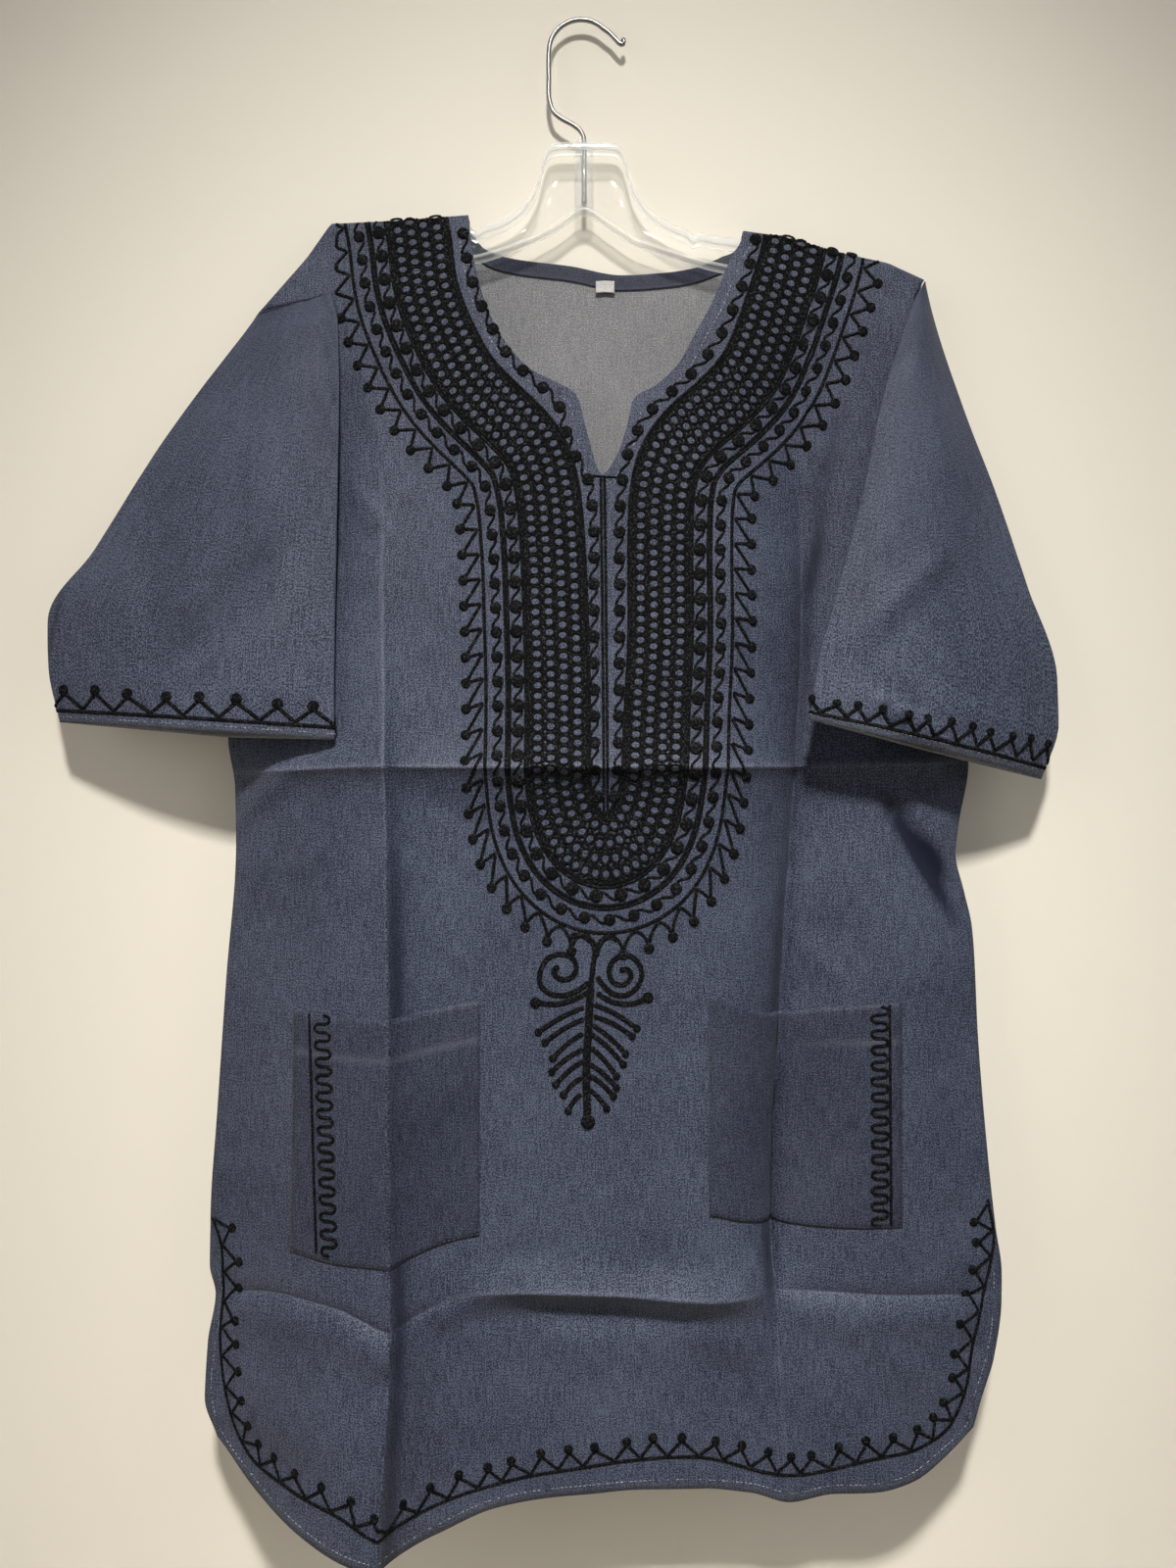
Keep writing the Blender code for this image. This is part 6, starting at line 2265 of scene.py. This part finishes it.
SLEEVE_LEFT = Sleeve(
    name="sleeve_left",
    table=(
        # t, x_out, z_out, y_out, x_in, z_in, y_in, x_under, z_under, y_under, bulge
        (0, -223.1, -203.7, -1, -170.8, -192.5, -11.5, -198.1, -372.7, -3, 0),
        (0.1, -240, -225, -2, -163.5, -216, -17, -203, -398, -5.8, 3),
        (0.32, -285, -284, -3, -161.5, -277, -21, -208, -424, -11, 6),
        (0.6, -337.7, -366.3, -4, -161, -368, -28, -218, -459, -17, 9),
        (0.8, -370.4, -416.5, -5, -160.5, -432, -34, -228, -480, -17, 11),
        (0.9, -369.2, -449.1, -6, -160, -464, -37, -234, -489, -16, 12),
        (1, -360.7, -486, -7, -159, -499.5, -40, -240, -497, -15, 13)),
    corners=((-223.1, -203.7), (-170.8, -192.5), (-198.1, -372.7)),
    outward=-1,
    folds=folds(
        (-346, -376, -364, -448, 4, 5), (-185, -392, -240, -480, 4.5, 16, 9),
        (-205, -350, -266, -450, -4.5, 11), (-290, -300, -330, -440, 3, 18),
        (-190, -250, -178, -350, 2.5, 12), (-240, -250, -262, -330, 1.4, 12),
        (-171, -212, -168, -306, -4, 8), (-206, -300, -196, -460, 3, 16),
        (-228, -420, -262, -466, -2.6, 10), (-300, -340, -280, -470, -3.6, 13)),
    # painted shade along the sleeve's folds; a minus makes painted highlight
    painted_shading=folds(
        (-276, -440, -248, -412, 0.34, 13), (-246, -414, -196, -352, 0.28, 12),
        (-182, -262, -168, -306, 0.34, 8), (-228, -300, -224, -356, 0.22, 9),
        (-262, -462, -238, -446, 0.3, 5), (-198, -392, -214, -452, -0.05, 16),
        (-354, -388, -366, -446, 0.8, 1.6)),
)
SLEEVE_RIGHT = Sleeve(
    name="sleeve_right",
    table=(
        # t, x_out, z_out, y_out, x_in, z_in, y_in, x_under, z_under, y_under, bulge
        (0, 238, -179.9, -1, 230.5, -194, -10.5, 222, -372.7, -3, 0),
        (0.1, 246.5, -213, -2, 220.5, -217, -18.5, 222.5, -398, -5.4, 6),
        (0.3, 266, -270, -3, 201.5, -272, -25, 222, -424, -9.5, 11),
        (0.5, 287.2, -326, -5, 188, -331, -29, 226, -449, -14, 13),
        (0.72, 310, -394, -7, 169.5, -396, -35, 231, -478, -17, 14),
        (0.86, 330, -456, -8, 156, -440, -40, 235, -492, -18, 16),
        (0.93, 330.5, -488, -9, 151.5, -463, -42, 237, -499, -18, 17),
        (1, 318, -526, -10, 148, -485.5, -44, 238, -507, -18, 18)),
    corners=((238, -179.9), (230.5, -194), (222, -372.7)),
    outward=1,
    folds=folds(
        (222, -236, 208, -256, -2, 4), (232, -250, 252, -330, 2, 10),
        (206, -330, 190, -440, 3, 11), (180, -435, 250, -370, 4.5, 12, 6),
        (184, -470, 240, -496, 6, 9, 5), (196, -462, 226, -478, -3.6, 5),
        (214, -462, 238, -492, -3, 5), (246, -470, 272, -486, 2.6, 6),
        (186, -462, 196, -486, -1.8, 4), (240, -380, 262, -440, -2, 9),
        (280, -350, 286, -480, -2, 13)),
    # painted shade along the sleeve's folds; a minus makes painted highlight
    painted_shading=folds(
        (190, -444, 246, -384, 0.22, 5), (190, -471, 222, -490, 0.75, 2),
        (203, -467, 246, -486, 0.6, 1.8), (196, -484, 236, -504, 0.6, 2.4),
        (187, -467, 221, -485, -0.16, 1.4), (232, -452, 262, -466, 0.3, 3),
        (242, -430, 256, -452, 0.2, 6), (300, -420, 306, -490, 0.2, 9)),
    cut=(0.37, 0.25),
)


CLOTHS = {
    # kind: name, dark, light, the pale colour of wear and painted highlight, and whether it
    # carries the wear and painted-light marks at all
    "body": ("chambray", (0.003, 0.006, 0.018), (0.094, 0.107, 0.157), (0.22, 0.23, 0.28)),
    # The pocket is the body's chambray in a darker copy: painted shade over the pockets.
    "pocket": ("chambray_pocket", (0.002, 0.005, 0.015), (0.065, 0.073, 0.108),
               (0.17, 0.18, 0.23)),
    "reverse": ("chambray_reverse", (0.12, 0.12, 0.127), (0.26, 0.259, 0.268),
                (0.34, 0.34, 0.35)),
    "facing": ("facing_cloth", (0.01, 0.013, 0.028), (0.04, 0.045, 0.072), (0.11, 0.12, 0.16)),
    "tape": ("label_tape", (0.4, 0.4, 0.38), (0.55, 0.54, 0.52), (0.5, 0.5, 0.5), False),
}


def materials() -> dict[str, Paint]:
    """The part's materials by kind."""
    clear = Material(Finish("clear_plastic", (0.93, 0.95, 0.94), 0.1, coat=0.6, specular=0.9))
    steel = Material(Finish("hook_steel", (0.23, 0.23, 0.225), 0.34, metallic=1))
    streak = steel.noise(steel.scaled(steel.object_place(), (1, 1, 0.08)), 0.0012, 3)
    steel.feed("Roughness", streak * 0.22 + 0.2)
    steel.bump(streak, 0.1, 0.0001)
    haze = clear.noise(clear.object_place(), 0.02, 3)
    clear.feed("Roughness", haze * 0.14 + 0.04)
    # Where marked thick (rims, ribs, boss) the plastic is more opaque and white: partly for its
    # thickness, partly as painted highlight for the bright reflections along the rims.
    clear.feed("Alpha", clear.mark("thick") * 0.3 + haze * 0.05 + 0.005)
    cloths = {kind: Chambray(*row).make() for kind, row in CLOTHS.items()}
    return {**cloths, "clear": clear.made, "steel": steel.made}


def main() -> None:
    """Build everything in its order."""
    logging.basicConfig(level=logging.INFO, format="%(message)s")
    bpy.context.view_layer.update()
    form = HangingForm()
    made = materials()
    front = FrontPanel(Layer(form, Side.FRONT))
    back = BackPanel(Layer(form, Side.BACK))
    pockets = (Pocket("pocket_left", 2, 12), Pocket("pocket_right", 25, 35))
    cloths = Cloths(front, back, (SLEEVE_LEFT, SLEEVE_RIGHT), pockets, made)
    Hanger(made["clear"]).build()
    Hook(made["steel"]).build()
    cloth = cloths.panel(front)
    cloths.panel(back)
    for sleeve in cloths.sleeves:
        cloths.tube(sleeve)
    for pocket in pockets:
        cloths.pocket(pocket, cloth)
    cloths.neck_facing()
    cloths.label()
    pale = thread_material("sewing_thread", (0.03, 0.034, 0.05), (0.24, 0.25, 0.29))
    dark = thread_material("dark_thread", (0.006, 0.008, 0.014), (0.02, 0.023, 0.036))
    Needlework(cloths, yarn_material(), pale, dark).build()
    Stage().build()


if __name__ == "__main__":
    main()
